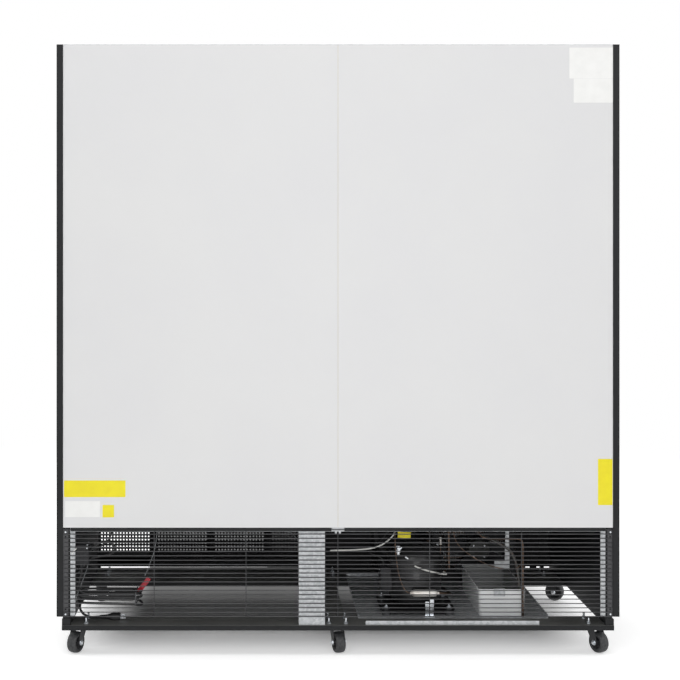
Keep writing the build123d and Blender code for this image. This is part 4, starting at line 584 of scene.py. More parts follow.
addRelief(bm, (759, 338, 108.3), (1, -0.02, -0.03), 6.8, 5.0, 24, reliefPlan["ribs"])
plugRelief = makePiece(bm, "plugRelief", "rubberJacket")
bm = bmesh.new()
addRelief(bm, (840, 366, 274), (0, 0, -1), 6.4, 5.0, 24, reliefPlan["ribs"])
glandRelief = makePiece(bm, "glandRelief", "rubberJacket")

tiePlan = {"spots": (658,), "wide": 3.2, "thick": 1.1}
bm = bmesh.new()
for x in tiePlan["spots"]:
    # the tie runs round the whole bundle and ends in its square head
    loop = roundedRect(84, 42, 9, 363, 184)
    path = [(x, y, z) for y, z in loop]
    halfWide, thick = tiePlan["wide"] / 2, tiePlan["thick"]
    addSweep(bm, path, [(0, -halfWide), (thick, -halfWide), (thick, halfWide), (0, halfWide)], (1, 0, 0))
cordTies = makePiece(bm, "cordTies", "softVinyl")
print("power cord laid, points:", len(cordPoints))

# Wire guard: level wires welded to upright stays, with a flat strap at each end
guardPlan = {"wire": 3, "stay": 2.6, "bottom": 127, "pitch": 14.1, "wires": 21, "end": 889, "wireY": 402.1,
             "stayY": 399.3, "stays": (-598, -299, 0, 299, 598), "stayTop": 410.5, "middleTop": 394.2,
             "straps": ((-886, 18), (886, 18)), "strapY": (398, 400.6)}
bm = bmesh.new()
for row in range(guardPlan["wires"]):
    z = guardPlan["bottom"] + row * guardPlan["pitch"]
    knots = [(x, guardPlan["wireY"], z + random.uniform(-0.25, 0.25)) for x in (-889, -598, -299, 0, 299, 598, 889)]
    for start, end in zip(knots, knots[1:]):
        addRod(bm, start, end, guardPlan["wire"] / 2, 10)
for x in guardPlan["stays"]:
    top = guardPlan["middleTop"] if x == 0 else guardPlan["stayTop"]
    addRod(bm, (x, guardPlan["stayY"], 125.5), (x, guardPlan["stayY"], top), guardPlan["stay"] / 2, 10)
    for row in range(guardPlan["wires"]):  # the weld nugget at each crossing
        z = guardPlan["bottom"] + row * guardPlan["pitch"]
        bmesh.ops.create_icosphere(bm, subdivisions=1, radius=1.5, matrix=Matrix.Translation((x, 400.6, z)))
wireGuard = makePiece(bm, "wireGuard", "guardWire", stands=("wire_guard",), smooth=60)
bm = bmesh.new()
for x, wide in guardPlan["straps"]:
    low, high = guardPlan["strapY"]
    addPlate(bm, roundedRect(wide, 285, 2, 0, 268), [circle(2.6, 16, 0, 150), circle(2.6, 16, 0, 386)],
             upright(high, x), high - low)
guardStraps = makePiece(bm, "guardStraps", "guardWire", bevel=0.3)
bm = bmesh.new()
for x, wide in guardPlan["straps"]:
    for z in (134.5, 401.5):
        addScrew(bm, (x, 402.6, z), (0, 1, 0), 3.4)
guardScrews = makePiece(bm, "guardScrews", "brightZinc")
print("wire guard made")

# Kick panel: folded tray with punched vents, the blank controller set in it, and the filter behind
kickPlan = {"halfWide": 900, "low": 102, "high": 414, "front": -346.5, "back": -328.5, "sheet": 1.5, "hem": 12,
            "holes": {"across": 6.5, "columns": 16, "columnPitch": 12.1, "rows": 6, "rowPitch": 12.9, "bottom": 163,
                      "groups": 8, "groupPitch": 221.5},
            "control": {"wide": 78, "high": 32, "z": 300, "back": -286.5}}
holes = kickPlan["holes"]
punched = [circle(holes["across"] / 2, 12, (group - 3.5) * holes["groupPitch"] + (column - 7.5) * holes["columnPitch"] - 5,
                  holes["bottom"] + row * holes["rowPitch"])
           for group in range(holes["groups"]) for column in range(holes["columns"]) for row in range(holes["rows"])]
wide, low, high = kickPlan["halfWide"], kickPlan["low"], kickPlan["high"]
front, back, sheet = kickPlan["front"], kickPlan["back"], kickPlan["sheet"]
window = roundedRect(kickPlan["control"]["wide"], kickPlan["control"]["high"], 1, 0, kickPlan["control"]["z"])
bm = bmesh.new()
addPlate(bm, roundedRect(2 * wide, high - low, 2, 0, (low + high) / 2), punched + [window], upright(front + sheet), sheet)
for z in (low, high - sheet):
    addBox(bm, (-wide + 2, front + sheet, z), (wide - 2, back, z + sheet))
    hemLow = z + sheet if z == low else z - kickPlan["hem"]
    addBox(bm, (-wide + 16, back - sheet, hemLow), (wide - 16, back, hemLow + kickPlan["hem"]))
for side in (-1, 1):
    edges = sorted((side * wide, side * (wide - sheet)))
    addBox(bm, (edges[0], front + sheet, low + 2), (edges[1], back, high - 2))
kickPanel = makePiece(bm, "kickPanel", "powderCoat", stands=("kick_panel",))
bm = bmesh.new()
for x in (-880, -443, 443, 880):
    for z in (118, 398):
        addScrew(bm, (x, front, z), (0, -1, 0), 4)
kickScrews = makePiece(bm, "kickScrews", "brightZinc")
bm = bmesh.new()
addPlate(bm, roundedRect(84, 38, 5, 0, 300), [roundedRect(40, 20, 2, -16, 300)], upright(front - 0.02), 2)
addBox(bm, (-38.7, front + 1.6, 284.4), (38.7, kickPlan["control"]["back"], 315.6))
for x in (14, 26):
    for z in (294, 306):
        addTurned(bm, (x, front - 1.8, z), (0, -1, 0), [(0, 0), (4.6, 0), (4.4, 0.9), (3.4, 1.4), (0, 1.5)], 20)
controllerCase = makePiece(bm, "controllerCase", "mouldedNylon", bevel=0.4)
bm = bmesh.new()
addPlate(bm, roundedRect(39.6, 19.6, 1.8, -16, 300), [], upright(front + 0.3), 1.2)
controllerWindow = makePiece(bm, "controllerWindow", "stovedEnamel", bevel=0.2)
# the filter stands on the front rail: whole behind the vents to the left, open-pored and patchy towards the right end
filterPlan = {"top": 254, "spans": (("filterEnd", "foamFilter", -880, -778, 112), ("filterThick", "foamFilter", -778, 0, 98.1),
                                    ("filterMiddle", "foamSheer", 0, 220, 98.1), ("filterThin", "foamVeil", 220, 674, 98.1)),
              "tabs": ((-850, -836), (-821, -795), (862, 880))}
for name, finish, begin, end, low in filterPlan["spans"]:
    bm = bmesh.new()
    steps = 40
    for k in range(steps):
        x0, x1 = (begin + (end - begin) * i / steps for i in (k, k + 1))
        bulge0, bulge1 = (0.8 * sin(x * 0.021) for x in (x0, x1))
        shell = [(x0, -326.8 + bulge0 * 0.5), (x1, -326.8 + bulge1 * 0.5), (x1, -323.4 + bulge1), (x0, -323.4 + bulge0)]
        addPrism(bm, shell, Matrix.Translation((0, 0, low)), filterPlan["top"] - low)
    for vert in bm.verts:
        if vert.co.z > 200:
            vert.co.z += 1.5 * sin(vert.co.x * 0.031)
    makePiece(bm, name, finish)
bm = bmesh.new()
for begin, end in filterPlan["tabs"]:  # scraps of foam pressed under the end of the filter
    addBox(bm, (begin, -326.6, 98.1), (end, -323.2, 113))
filterTabs = makePiece(bm, "filterTabs", "foamFilter", bevel=0.8)
print("kick panel made, holes:", len(punched))

# Casters: pressed plate with its ball race, swivel fork, axle bolt, and wheel with a barrel tread
casterPlan = {"places": {"rear_left": (-850, 350, 24), "rear_center": (0, 350, 13), "rear_right": (850, 350, -22),
                         "front_left": (-850, -240, 60), "front_center": (0, -240, -35), "front_right": (850, -240, 12)},
              "plate": (78, 3, 95), "bolt": 28, "trail": 20, "axle": 34, "arm": (16.6, 19.6), "sides": 56}
race = [(0, 0), (24, 0), (24, 2.6), (22.8, 4.4), (22.4, 6), (23, 6.6), (23, 8), (21.2, 10.6), (19.6, 12.1), (0, 12.1)]
armOutline = [(-17, 79.4), (-16.6, 73), (-12, 63), (-3, 50), (5, 39), (10.2, 31), (12.6, 27.2), (16, 24.6), (20, 23.9),
              (24.4, 24.8), (27.8, 27.4), (29.6, 31), (30, 35), (29.8, 44), (27, 56), (22, 67), (17.6, 74), (17, 79.4)]
plateBm, boltBm = bmesh.new(), bmesh.new()
for name, (x, y, yaw) in casterPlan["places"].items():
    turned = Matrix.Translation((x, y, 0)) @ Matrix.Rotation(radians(yaw), 4, "Z")
    square = Matrix.Translation((x, y, 0))
    side, thick, top = casterPlan["plate"]
    addPlate(plateBm, roundedRect(side, side, 8), [], square @ Matrix.Translation((0, 0, top - thick)), thick)
    addTurned(plateBm, (0, 0, top - thick), (0, 0, -1), race, 40, square)
    addRod(plateBm, (0, 0, 80), (0, 0, 73), 5.9, 20, square)
    addHexHead(boltBm, (0, 0, 74.3), (0, 0, -1), 17, 4.6, 0, turned)
    for u in (-1, 1):
        for v in (-1, 1):
            spot = (u * casterPlan["bolt"], v * casterPlan["bolt"])
            addHexHead(boltBm, (*spot, top - thick), (0, 0, -1), 12, 4.4, 0, square)
            addTurned(boltBm, (*spot, 98), (0, 0, 1), [(0, 0), (8.2, 0), (8.2, 1.2), (0, 1.2)], 24, square)
            addHexHead(boltBm, (*spot, 99.2), (0, 0, 1), 12, 5.6, 12, square)
    # fork
    bm = bmesh.new()
    addPlate(bm, roundedRect(39.2, 46, 7), [circle(6.3, 24)], turned @ Matrix.Translation((0, 0, 74.5)), 5)
    inner, outer = casterPlan["arm"]
    for start in (inner, -outer):
        arm = turned @ Matrix(((0, 0, 1, start), (1, 0, 0, 0), (0, 1, 0, 0), (0, 0, 0, 1)))
        addPrism(bm, armOutline, arm, outer - inner)
    makePiece(bm, "casterFork_" + name, "forkSteel", "caster_" + name, ("caster_fork_" + name,), bevel=0.9)
    bm = bmesh.new()
    addRod(bm, (-22, 20, 34), (22, 20, 34), 4, 20, turned)
    for side in (-1, 1):
        addTurned(bm, (side * 19.6, 20, 34), (side, 0, 0), [(0, 0), (8.4, 0), (8.4, 1.1), (0, 1.1)], 28, turned)
        addHexHead(bm, (side * 20.7, 20, 34), (side, 0, 0), 12.6, 3.9, 0, turned)
    addRod(bm, (24, 20, 34), (27.4, 20, 34), 3.4, 16, turned)
    makePiece(bm, "casterAxle_" + name, "brightZinc", "caster_" + name)
    # wheel: tread and hub, both turned about the axle
    tread = [(21, -12.6), (24, -14.4), (27, -16), (30, -15.6), (32.6, -12.6), (33.6, -7), (34, -2)]
    hub = [(4.1, -15.4), (8.4, -15.4), (9.4, -14), (9.6, -8.4), (16.8, -7.6), (19.4, -11.6), (21, -12.6)]
    for piece, profile, finish in (("Tread", tread, "rubberTread"), ("Hub", hub, "mouldedNylon")):
        bm = bmesh.new()
        loop = profile + [(r, -h) for r, h in profile[::-1]]
        addTurned(bm, (0, 20, 34), (1, 0, 0), loop + [loop[0]], casterPlan["sides"], turned)
        if piece == "Hub":
            for k in range(6):
                spoke = turned @ Matrix.Translation((0, 20, 34)) @ Matrix.Rotation(k * pi / 3, 4, "X")
                for side in (-1, 1):
                    near, far = sorted((side * 7.4, side * 11.2))
                    addBox(bm, (near, -1.3, 9), (far, 1.3, 19), spoke)
        stands = ("caster_wheel_" + name,) if piece == "Tread" else ()
        makePiece(bm, "wheel" + piece + "_" + name, finish, "wheel_" + name, stands)
casterPlates = makePiece(plateBm, "casterPlates", "galvanised", stands=("caster_plates",), bevel=0.4)
casterBolts = makePiece(boltBm, "casterBolts", "brightZinc")
print("casters made")

# Compressor: welded shell of two cups, foot plate on rubber mounts, terminal cover
compressorPlan = {"x": -275, "y": 218, "radius": 92, "bottom": 118, "seam": 222, "top": 322, "dome": 54,
                  "foot": (250, 180, 116, 3), "mounts": (105, 70), "trayTop": 100}
cx, cy = compressorPlan["x"], compressorPlan["y"]
bm = bmesh.new()
cup = [(0, 118), (44, 118), (60, 120.5), (73, 127), (82, 137), (87, 148), (89, 160), (89, 214), (91.6, 216.6), (93.2, 220),
       (93.4, 224), (92, 227), (92, 268)]
dome = [(38 + 54 * cos(radians(a)), 268 + 54 * sin(radians(a))) for a in range(10, 91, 10)]
addTurned(bm, (cx, cy, 0), (0, 0, 1), cup + dome + [(0, 322)], 72)
for angle, z in ((-40, 268), (190, 212), (215, 250)):  # brazed sockets of the three pipes
    a = radians(angle)
    addTurned(bm, (cx + 88 * cos(a), cy + 88 * sin(a), z), (cos(a), sin(a), 0),
              [(0, 0), (8, 0), (8, 3.6), (6, 6.5), (6, 13), (4.2, 14.5), (0, 14.5)], 20)
addPlate(bm, roundedRect(250, 180, 20), [circle(9.2, 20, u * 105, v * 70) for u in (-1, 1) for v in (-1, 1)],
         Matrix.Translation((cx, cy, 116)), 3)
compressorShell = makePiece(bm, "compressorShell", "stovedEnamel", stands=("compressor",))
bm = bmesh.new()
for u in (-1, 1):
    for v in (-1, 1):
        spot = (cx + u * 105, cy + v * 70)
        addTurned(bm, (*spot, 100), (0, 0, 1), [(5, 0), (14, 0), (14, 3), (12.4, 6), (13.2, 9), (12.6, 13), (11.8, 16), (9, 16.2),
                                                (9, 19), (11.6, 19.3), (11.6, 22), (9, 24), (5, 24), (5, 0)], 28)
compressorMounts = makePiece(bm, "compressorMounts", "softVinyl")
bm = bmesh.new()
for u in (-1, 1):
    for v in (-1, 1):
        spot = (cx + u * 105, cy + v * 70)
        addTurned(bm, (*spot, 24 + 100), (0, 0, 1), [(0, 0), (10, 0), (10, 1.5), (0, 1.5)], 24)
        addHexHead(bm, (*spot, 125.5), (0, 0, 1), 10, 5, 6)
compressorBolts = makePiece(bm, "compressorBolts", "brightZinc")
bm = bmesh.new()
side = Matrix(((0, 0, 1, -195), (1, 0, 0, 218), (0, 1, 0, 205), (0, 0, 0, 1)))
addPrism(bm, roundedRect(69, 79, 9), side, 36)
addPrism(bm, roundedRect(62, 72, 7), side @ Matrix.Translation((0, 0, 36)), 4)
for v in (-28, 28):
    addBox(bm, (-192, 218 + v - 1.5, 205 - 39.5), (-160, 218 + v + 1.5, 205 + 39.8))
terminalCover = makePiece(bm, "terminalCover", "mouldedNylon", bevel=1.2)
bm = bmesh.new()
for z in (176, 234):
    addScrew(bm, (-155.2, 218, z), (1, 0, 0), 3.6)
terminalScrews = makePiece(bm, "terminalScrews", "brightZinc")
print("compressor made")

# Condenser: finned block with hairpin tubes, its shroud, and the strap that carries the motor
condenserPlan = {"x": -538, "left": -688, "right": -388, "front": -200, "rear": -150, "bottom": 100, "top": 380,
                 "finPitch": 6.2, "tube": 9.5, "rows": 9, "shroudRear": -112, "opening": 122, "strapY": -62}
bm = bmesh.new()
x = condenserPlan["left"] + 5
while x < condenserPlan["right"] - 4:
    addBox(bm, (x, -199.5, 102.5), (x + 0.5, -150.5, 377.5))
    x += condenserPlan["finPitch"]
condenserFins = makePiece(bm, "condenserFins", "finStock", stands=("condenser",))
bm = bmesh.new()
tubeZ = [116 + 31 * k for k in range(condenserPlan["rows"])]
for y in (-187.5, -162.5):
    for z in tubeZ:
        addRod(bm, (-691, y, z), (-385, y, z), condenserPlan["tube"] / 2, 14)
condenserTubes = makePiece(bm, "condenserTubes", "copperTube")
for index, z in enumerate(tubeZ):  # return bends outside the end plates
    for end, out in ((-690, -1), (-386, 1)):
        makeLine(f"returnBend_{index}_{'left' if out < 0 else 'right'}",
                 [(end, -187.5, z), (end + out * 5, -187.5, z), (end + out * 11, -184, z), (end + out * 12, -175, z),
                  (end + out * 11, -166, z), (end + out * 5, -162.5, z), (end, -162.5, z)], 9, "copperTube")
bm = bmesh.new()
for x in (condenserPlan["left"], condenserPlan["right"] - 2):
    plane = Matrix(((0, 0, 1, x), (1, 0, 0, 0), (0, 1, 0, 0), (0, 0, 0, 1)))
    addPlate(bm, roundedRect(50, 280, 2, -175, 240), [circle(5.4, 16, y, z) for y in (-187.5, -162.5) for z in tubeZ], plane, 2)
addPlate(bm, roundedRect(300, 280, 4, -538, 240), [circle(condenserPlan["opening"], 72, -538, 240)], upright(-112), 1.5)
addSweep(bm, [(-538 + u, -113.5, 240 + v) for u, v in ((-150, -140), (150, -140), (150, 140), (-150, 140))],
         [(0, 0), (-1.5, 0), (-1.5, -36.4), (0, -36.4)], (0, 1, 0))
lip = [((condenserPlan["opening"] + 0.3) * cos(a), (condenserPlan["opening"] + 0.3) * sin(a)) for a in [2 * pi * i / 72 for i in range(72)]]
addSweep(bm, [(-538 + u, -113.5, 240 + v) for u, v in lip], [(0, 0), (1.2, 0), (1.2, -9), (0, -9)], (0, 1, 0))
for side in (-1, 1):
    legX = -538 + side * 126
    addBox(bm, (legX - 1, -112, 228), (legX + 1, -62, 252))
    addBox(bm, (min(legX, legX + side * 14), -112, 228), (max(legX, legX + side * 14), -110.5, 252))
addPlate(bm, roundedRect(254, 24, 2, -538, 240), [circle(5, 20, -538, 240)], upright(-60), 2)
for side in (-1, 1):  # pressed stiffening bead
    addBox(bm, (-538 + side * 75 - 40, -62.9, 238), (-538 + side * 75 + 40, -61.9, 242))
condenserShroud = makePiece(bm, "condenserShroud", "powderCoat", bevel=0.5)
bm = bmesh.new()
for u in (-1, 1):
    for v in (-1, 1):
        addHexHead(bm, (-538 + u * 140, -112, 240 + v * 130), (0, 1, 0), 8, 3.6)
    addHexHead(bm, (-538 + u * 133, -110.5, 240), (0, 1, 0), 8, 3.6)
    addHexHead(bm, (-538 + u * 22, -62, 240), (0, -1, 0), 8, 3.4)
condenserScrews = makePiece(bm, "condenserScrews", "brightZinc")


def addFanMotor(bm, x, y, z, radius, length):
    # two end bells clamped on the laminations, with cooling slots and through bolts
    profile = [(0, 0), (radius * 0.5, 0), (radius * 0.86, 1.5), (radius * 0.97, 5), (radius, 9), (radius, length * 0.36),
               (radius * 0.93, length * 0.38), (radius * 0.93, length * 0.6), (radius, length * 0.62), (radius, length - 9),
               (radius * 0.95, length - 4), (radius * 0.82, length - 1.6), (radius * 0.34, length - 1.2),
               (radius * 0.3, length), (0, length)]
    addTurned(bm, (x, y, z), (0, 1, 0), profile, 48)
    for k in range(10):
        a = 2 * pi * k / 10
        rib = Matrix.Translation((x, y, z)) @ Matrix.Rotation(a, 4, "Y")
        addBox(bm, (-1.4, length - 4.4, radius * 0.42), (1.4, length - 0.8, radius * 0.8), rib)
        addBox(bm, (-2, length * 0.385, radius * 0.9), (2, length * 0.595, radius * 0.985), rib)


bm = bmesh.new()
addFanMotor(bm, -538, -60, 240, 39, 55)
for x in (-300, 300):
    addFanMotor(bm, x, 109.5, 1829, 30, 40)
fanMotors = makePiece(bm, "fanMotors", "castHousing", stands=("fan_motors",))
bm = bmesh.new()
for x, y, z, radius, reach in ((-538, -5, 240, 39, 0.7), (-300, 149.5, 1829, 30, 0.7), (300, 149.5, 1829, 30, 0.7)):
    for k in range(4):
        a = pi / 4 + k * pi / 2
        addHexHead(bm, (x + radius * reach * cos(a), y - 2.2, z + radius * reach * sin(a)), (0, 1, 0), 6, 2.2)
motorBolts = makePiece(bm, "motorBolts", "brightZinc")
print("condenser and motors made")


# Fans: curved blades on a moulded hub
def makeFan(name, stands, x, yRear, z, hub, reach, depth, blades):
    bm = bmesh.new()
    addTurned(bm, (x, yRear - depth, z), (0, 1, 0), [(0, 0), (hub * 0.7, 0), (hub * 0.94, 1.4), (hub, 4), (hub, depth - 1),
                                                     (hub * 0.9, depth), (0, depth)], 40)
    for k in range(blades):
        start = 2 * pi * k / blades
        sheetRows = []
        for i in range(8):
            r = hub * 0.94 + (reach - hub * 0.94) * i / 7
            row = []
            for j in range(9):
                t = j / 8
                sweep = start + radians(46 - 10 * i / 7) * (t - 0.5) * (1 if r > hub else 1) + 0.1 * (i / 7) ** 2
                pitch = (0.5 - t) * depth * 0.86 + 1.6 * sin(pi * t)
                row.append((r * cos(sweep), pitch, r * sin(sweep)))
            sheetRows.append(row)
        tops, bottoms = [], []
        for row in sheetRows:
            tops.append([bm.verts.new((x + px, yRear - depth / 2 + py + 0.7, z + pz)) for px, py, pz in row])
            bottoms.append([bm.verts.new((x + px, yRear - depth / 2 + py - 0.7, z + pz)) for px, py, pz in row])
        for i in range(7):
            for j in range(8):
                bm.faces.new((tops[i][j], tops[i + 1][j], tops[i + 1][j + 1], tops[i][j + 1]))
                bm.faces.new((bottoms[i][j], bottoms[i][j + 1], bottoms[i + 1][j + 1], bottoms[i + 1][j]))
        rim = [(i, 0) for i in range(8)] + [(7, j) for j in range(1, 9)] + [(i, 8) for i in range(6, -1, -1)]
        rim += [(0, j) for j in range(7, 0, -1)]
        for (i0, j0), (i1, j1) in zip(rim, rim[1:] + rim[:1]):
            bm.faces.new((tops[i0][j0], tops[i1][j1], bottoms[i1][j1], bottoms[i0][j0]))
    return makePiece(bm, name, "mouldedNylon", stands, (stands,))


condenserFan = makeFan("condenserFanBlades", "condenser_fan", -538, -72, 240, 26, 117.5, 30, 5)
leftFan = makeFan("evaporatorFanBladesLeft", "evaporator_fan_left", -300, 97.5, 1829, 22, 84.5, 22, 5)
rightFan = makeFan("evaporatorFanBladesRight", "evaporator_fan_right", 300, 97.5, 1829, 22, 84.5, 22, 5)
print("fans made")

# Pipework: filter drier, copper lines, capillary and the pan's drain hose
bm = bmesh.new()
addTurned(bm, (-341, 330, 183), (1, 0, 0), [(0, 0), (4.6, 0), (4.8, 6), (9, 9.5), (11.2, 13), (11.5, 17), (11.5, 80),
                                            (11.2, 84), (8, 90), (4.4, 95.5), (3.2, 97), (0, 97)], 36)
filterDrier = makePiece(bm, "filterDrier", "platedCopper", stands=("pipework",))
lines = {
    "liquidLine": (8, "copperTube", [(-386, -170, 140), (-352, -170, 140), (-352, -60, 138), (-406, 200, 142),
                                     (-374, 330, 183), (-341, 330, 183)]),
    "dischargeLine": (8, "copperTube", [(-363.6, 202.4, 212), (-389.2, 197.9, 212), (-412, 80, 300), (-356, -70, 346),
                                        (-356, -174, 346), (-388, -174, 346)]),
    "capillary": (3.4, "copperTube", [(-244, 330, 183), (-224, 330, 183), (-196, 310, 290), (-196, 310, 416)]),
    "suctionSleeve": (13, "foamFilter", [(-150, 150, 416), (-150, 150, 358), (-154, 130, 304), (-186.1, 143.4, 268),
                                         (-192, 148, 268)]),
    "suctionLine": (8, "copperTube", [(-190, 146.6, 268), (-198, 153.4, 268), (-206.1, 160.1, 268)]),
    "drainHose": (9, "softHose", [(-470, 250, 416), (-470, 250, 364), (-538, 264, 342), (-615, 286, 296), (-615, 286, 172)]),
    "processTube": (6, "copperTube", [(-346, 167, 250), (-362, 158, 252), (-372, 152, 262), (-374, 150, 290), (-374, 150, 306)]),
}
for name, (diameter, finish, points) in lines.items():
    makeLine(name, points, diameter, finish)
bm = bmesh.new()
addTurned(bm, (-374, 150, 302), (0, 0, 1), [(0, 0), (5, 0), (5, 10), (4, 12), (4, 18), (6, 19), (6, 24), (0, 26)], 20)
addTurned(bm, (-357, -170, 140), (1, 0, 0), [(4, 0), (5.6, 0), (5.6, 10), (4, 11), (4, 0)], 20)
serviceValve = makePiece(bm, "serviceValve", "platedCopper")

# Evaporation pan: thin moulded tray with a rolled rim
panPlan = {"x": (-632, -474), "y": (-12.5, 311.5), "z": (100, 190), "wall": 2, "draft": 3.1, "radius": 12}
bm = bmesh.new()
panX, panY = sum(panPlan["x"]) / 2, sum(panPlan["y"]) / 2
panWide, panLong = panPlan["x"][1] - panPlan["x"][0], panPlan["y"][1] - panPlan["y"][0]


def panRing(inset, z):
    loop = roundedRect(panWide - 2 * inset, panLong - 2 * inset, panPlan["radius"], panX, panY, 6)
    return [bm.verts.new((u, v, z)) for u, v in loop]


levels = [(6, 100), (4.2, 101.6), (3.1, 106), (1.4, 178), (1.3, 185), (0, 185.6), (0, 189), (0.8, 190), (2.6, 190), (3.3, 188.6),
          (3.5, 178), (5.2, 106), (6.4, 103.4), (8, 102.2)]
rings = [panRing(inset, z) for inset, z in levels]
for low, high in zip(rings, rings[1:]):
    for i in range(len(low)):
        j = (i + 1) % len(low)
        bm.faces.new((low[i], low[j], high[j], high[i]))
bm.faces.new(rings[0][::-1])
bm.faces.new(rings[-1])
evaporationPan = makePiece(bm, "evaporationPan", "milkyPolypropylene", stands=("evaporation_pan",))
bm = bmesh.new()
addPlate(bm, roundedRect(37, 23, 1.5, -544.5, 180), [circle(2.4, 16, -544.5, 176)], upright(313.3), 1.4)
addBox(bm, (-562.9, 303.5, 190.2), (-526.1, 313.2, 191.4))
addBox(bm, (-562.8, 303.6, 181), (-526.2, 304.9, 191))
panClip = makePiece(bm, "panClip", "galvanised", bevel=0.3)
print("pipework and pan made")

# Junction box on the side frame: base, lid, screws and the gland's nut
boxPlan = {"x": (810.5, 869.5), "y": (341, 391), "z": (295, 355)}
bm = bmesh.new()
flat = Matrix.Translation((840, 366, 0))
addPrism(bm, roundedRect(59, 50, 5), flat @ Matrix.Translation((0, 0, 295)), 42)
addPrism(bm, roundedRect(57.6, 48.6, 5), flat @ Matrix.Translation((0, 0, 337)), 1)
addPrism(bm, roundedRect(59, 50, 5), flat @ Matrix.Translation((0, 0, 338)), 17)
addTurned(bm, (840, 366, 295), (0, 0, -1), [(0, 0), (11, 0), (11, 7), (8, 7.4), (8, 16), (9.4, 17), (9, 21), (6, 22), (0, 22)], 12)
addTurned(bm, (810.5, 358, 346), (-1, 0, 0), [(0, 0), (7, 0), (7, 3), (5, 4), (5, 7), (0, 7)], 20)
junctionBox = makePiece(bm, "junctionBox", "mouldedNylon", stands=("junction_box",), bevel=0.6)
bm = bmesh.new()
for u in (-22, 22):
    for v in (-17.5, 17.5):
        addScrew(bm, (840 + u, 366 + v, 355), (0, 0, 1), 3)
    addScrew(bm, (840 + u, 391, 346), (0, 1, 0), 2.6)
junctionScrews = makePiece(bm, "junctionScrews", "brightZinc")

# Wiring: leads held at both ends, as the tubes of the wiring node, and the thin ones tied beside them
leads = {
    "compressorLead": (5, "rubberJacket", [(-205, 130, 416), (-205, 130, 344), (-142, 158, 294), (-116, 202, 284),
                                              (-170, 218, 274), (-170, 218, 245)]),
    "sideFrameLead": (5, "greyInsulation", [(825, 341, 318), (825, 317, 318), (847, 316, 244), (871, 316, 244)]),
    "ceilingLead": (5, "rubberJacket", [(810.5, 362, 338), (784.5, 362, 338), (740, 345, 370), (740, 345, 416)]),
    "earthLead": (3, "greyInsulation", [(820, 345, 296), (818, 342, 284), (838, 372, 226), (862, 384, 160), (867, 386, 120)]),
    "boxLeadWhite": (3.4, "whiteInsulation", [(852, 391, 346), (852, 398, 346), (862, 398, 338), (863, 397, 326),
                                              (862, 391, 316)]),
    "boxLoop": (6, "rubberJacket", [(811, 372, 330), (796, 374, 352), (764, 372, 366), (738, 366, 358), (728, 360, 336),
                                    (738, 350, 318), (790, 344, 306), (811, 352, 304)]),
    "tagString": (2, "greyInsulation", [(592, 330, 416), (594, 333, 380), (600, 342, 330), (612, 352, 296), (632, 358, 246)]),
    "paleLead": (3.6, "whiteInsulation", [(372, 250, 416), (368, 252, 402), (350, 256, 392), (300, 262, 388), (286, 262, 398),
                                          (284, 262, 416)]),
    "thinLead": (2.4, "greyInsulation", [(296, 240, 416), (270, 244, 396), (220, 250, 384), (180, 254, 372), (140, 262, 368),
                                         (127, 372, 364)]),
    "whiteCable": (5, "whiteInsulation", [(20, 330, 324), (-20, 318, 322), (-64, 304, 320), (-112, 300, 322), (-150, 299, 332),
                                          (-182, 297, 354), (-204, 293, 380), (-202, 290, 416)]),
    "rearLine": (6.4, "copperTube", [(-470, 296, 416), (-472, 306, 378), (-492, 318, 361), (-530, 318, 360), (-590, 318, 361),
                                     (-614, 318, 359), (-621, 318, 346), (-621, 318, 300), (-621, 318, 100)]),
    "capillaryLoop": (3.4, "copperTube", [(-392, 280, 416), (-396, 282, 356), (-420, 286, 320), (-470, 296, 286), (-524, 304, 262),
                                          (-580, 308, 256), (-612, 312, 262), (-618, 316, 284)]),
    "upLine": (7, "copperTube", [(-384, 262, 372), (-384, 262, 340), (-384, 262, 262), (-386, 258, 244)]),
    "silverCable": (5.4, "whiteInsulation", [(-262, 310, 268), (-270, 312, 264), (-296, 318, 256), (-330, 322, 248),
                                          (-362, 318, 242), (-372, 300, 238), (-366, 262, 236)]),
}
for name, (diameter, finish, points) in leads.items():
    makeLine(name, points, diameter, finish, stands=("wiring",) if name == "compressorLead" else ())
bm = bmesh.new()  # fittings and small brackets hung among the lines
addTurned(bm, (-209, 300, 304), (0, 0, 1), [(0, 0), (5, 0), (5, 6), (8.5, 7), (8.5, 15), (5.5, 16), (5.5, 24), (7, 25), (7, 29), (0, 30)], 12)
addTurned(bm, (-204, 300, 316), (-0.8, 0, 0.5), [(0, 0), (4.6, 0), (4.6, 14), (3, 15), (3, 20), (0, 20)], 16)
addTurned(bm, (-232, 300, 296), (-0.7, 0, -0.5), [(0, 0), (3.6, 0), (3.6, 12), (0, 12.6)], 16)
for x, y, z in ((-672, 320, 414), (-694, 330, 414), (-768, 330, 414)):
    addHexHead(bm, (x, y, 416), (0, 0, -1), 9, 4, 4)
lineFittings = makePiece(bm, "lineFittings", "brightZinc")
bm = bmesh.new()
addBox(bm, (-327, 306, 100), (-298, 322, 101.5))
addBox(bm, (-326.9, 306.1, 100.1), (-314, 307.6, 156))
addBox(bm, (-311, 306.1, 100.1), (-298.1, 307.6, 148))
addTurned(bm, (-320.5, 307.5, 140), (0, 1, 0), [(0, 0), (5, 0), (4.4, 2.4), (0, 2.6)], 20)
trayBracket = makePiece(bm, "trayBracket", "brightZinc", bevel=0.5)
print("junction box and wiring made")

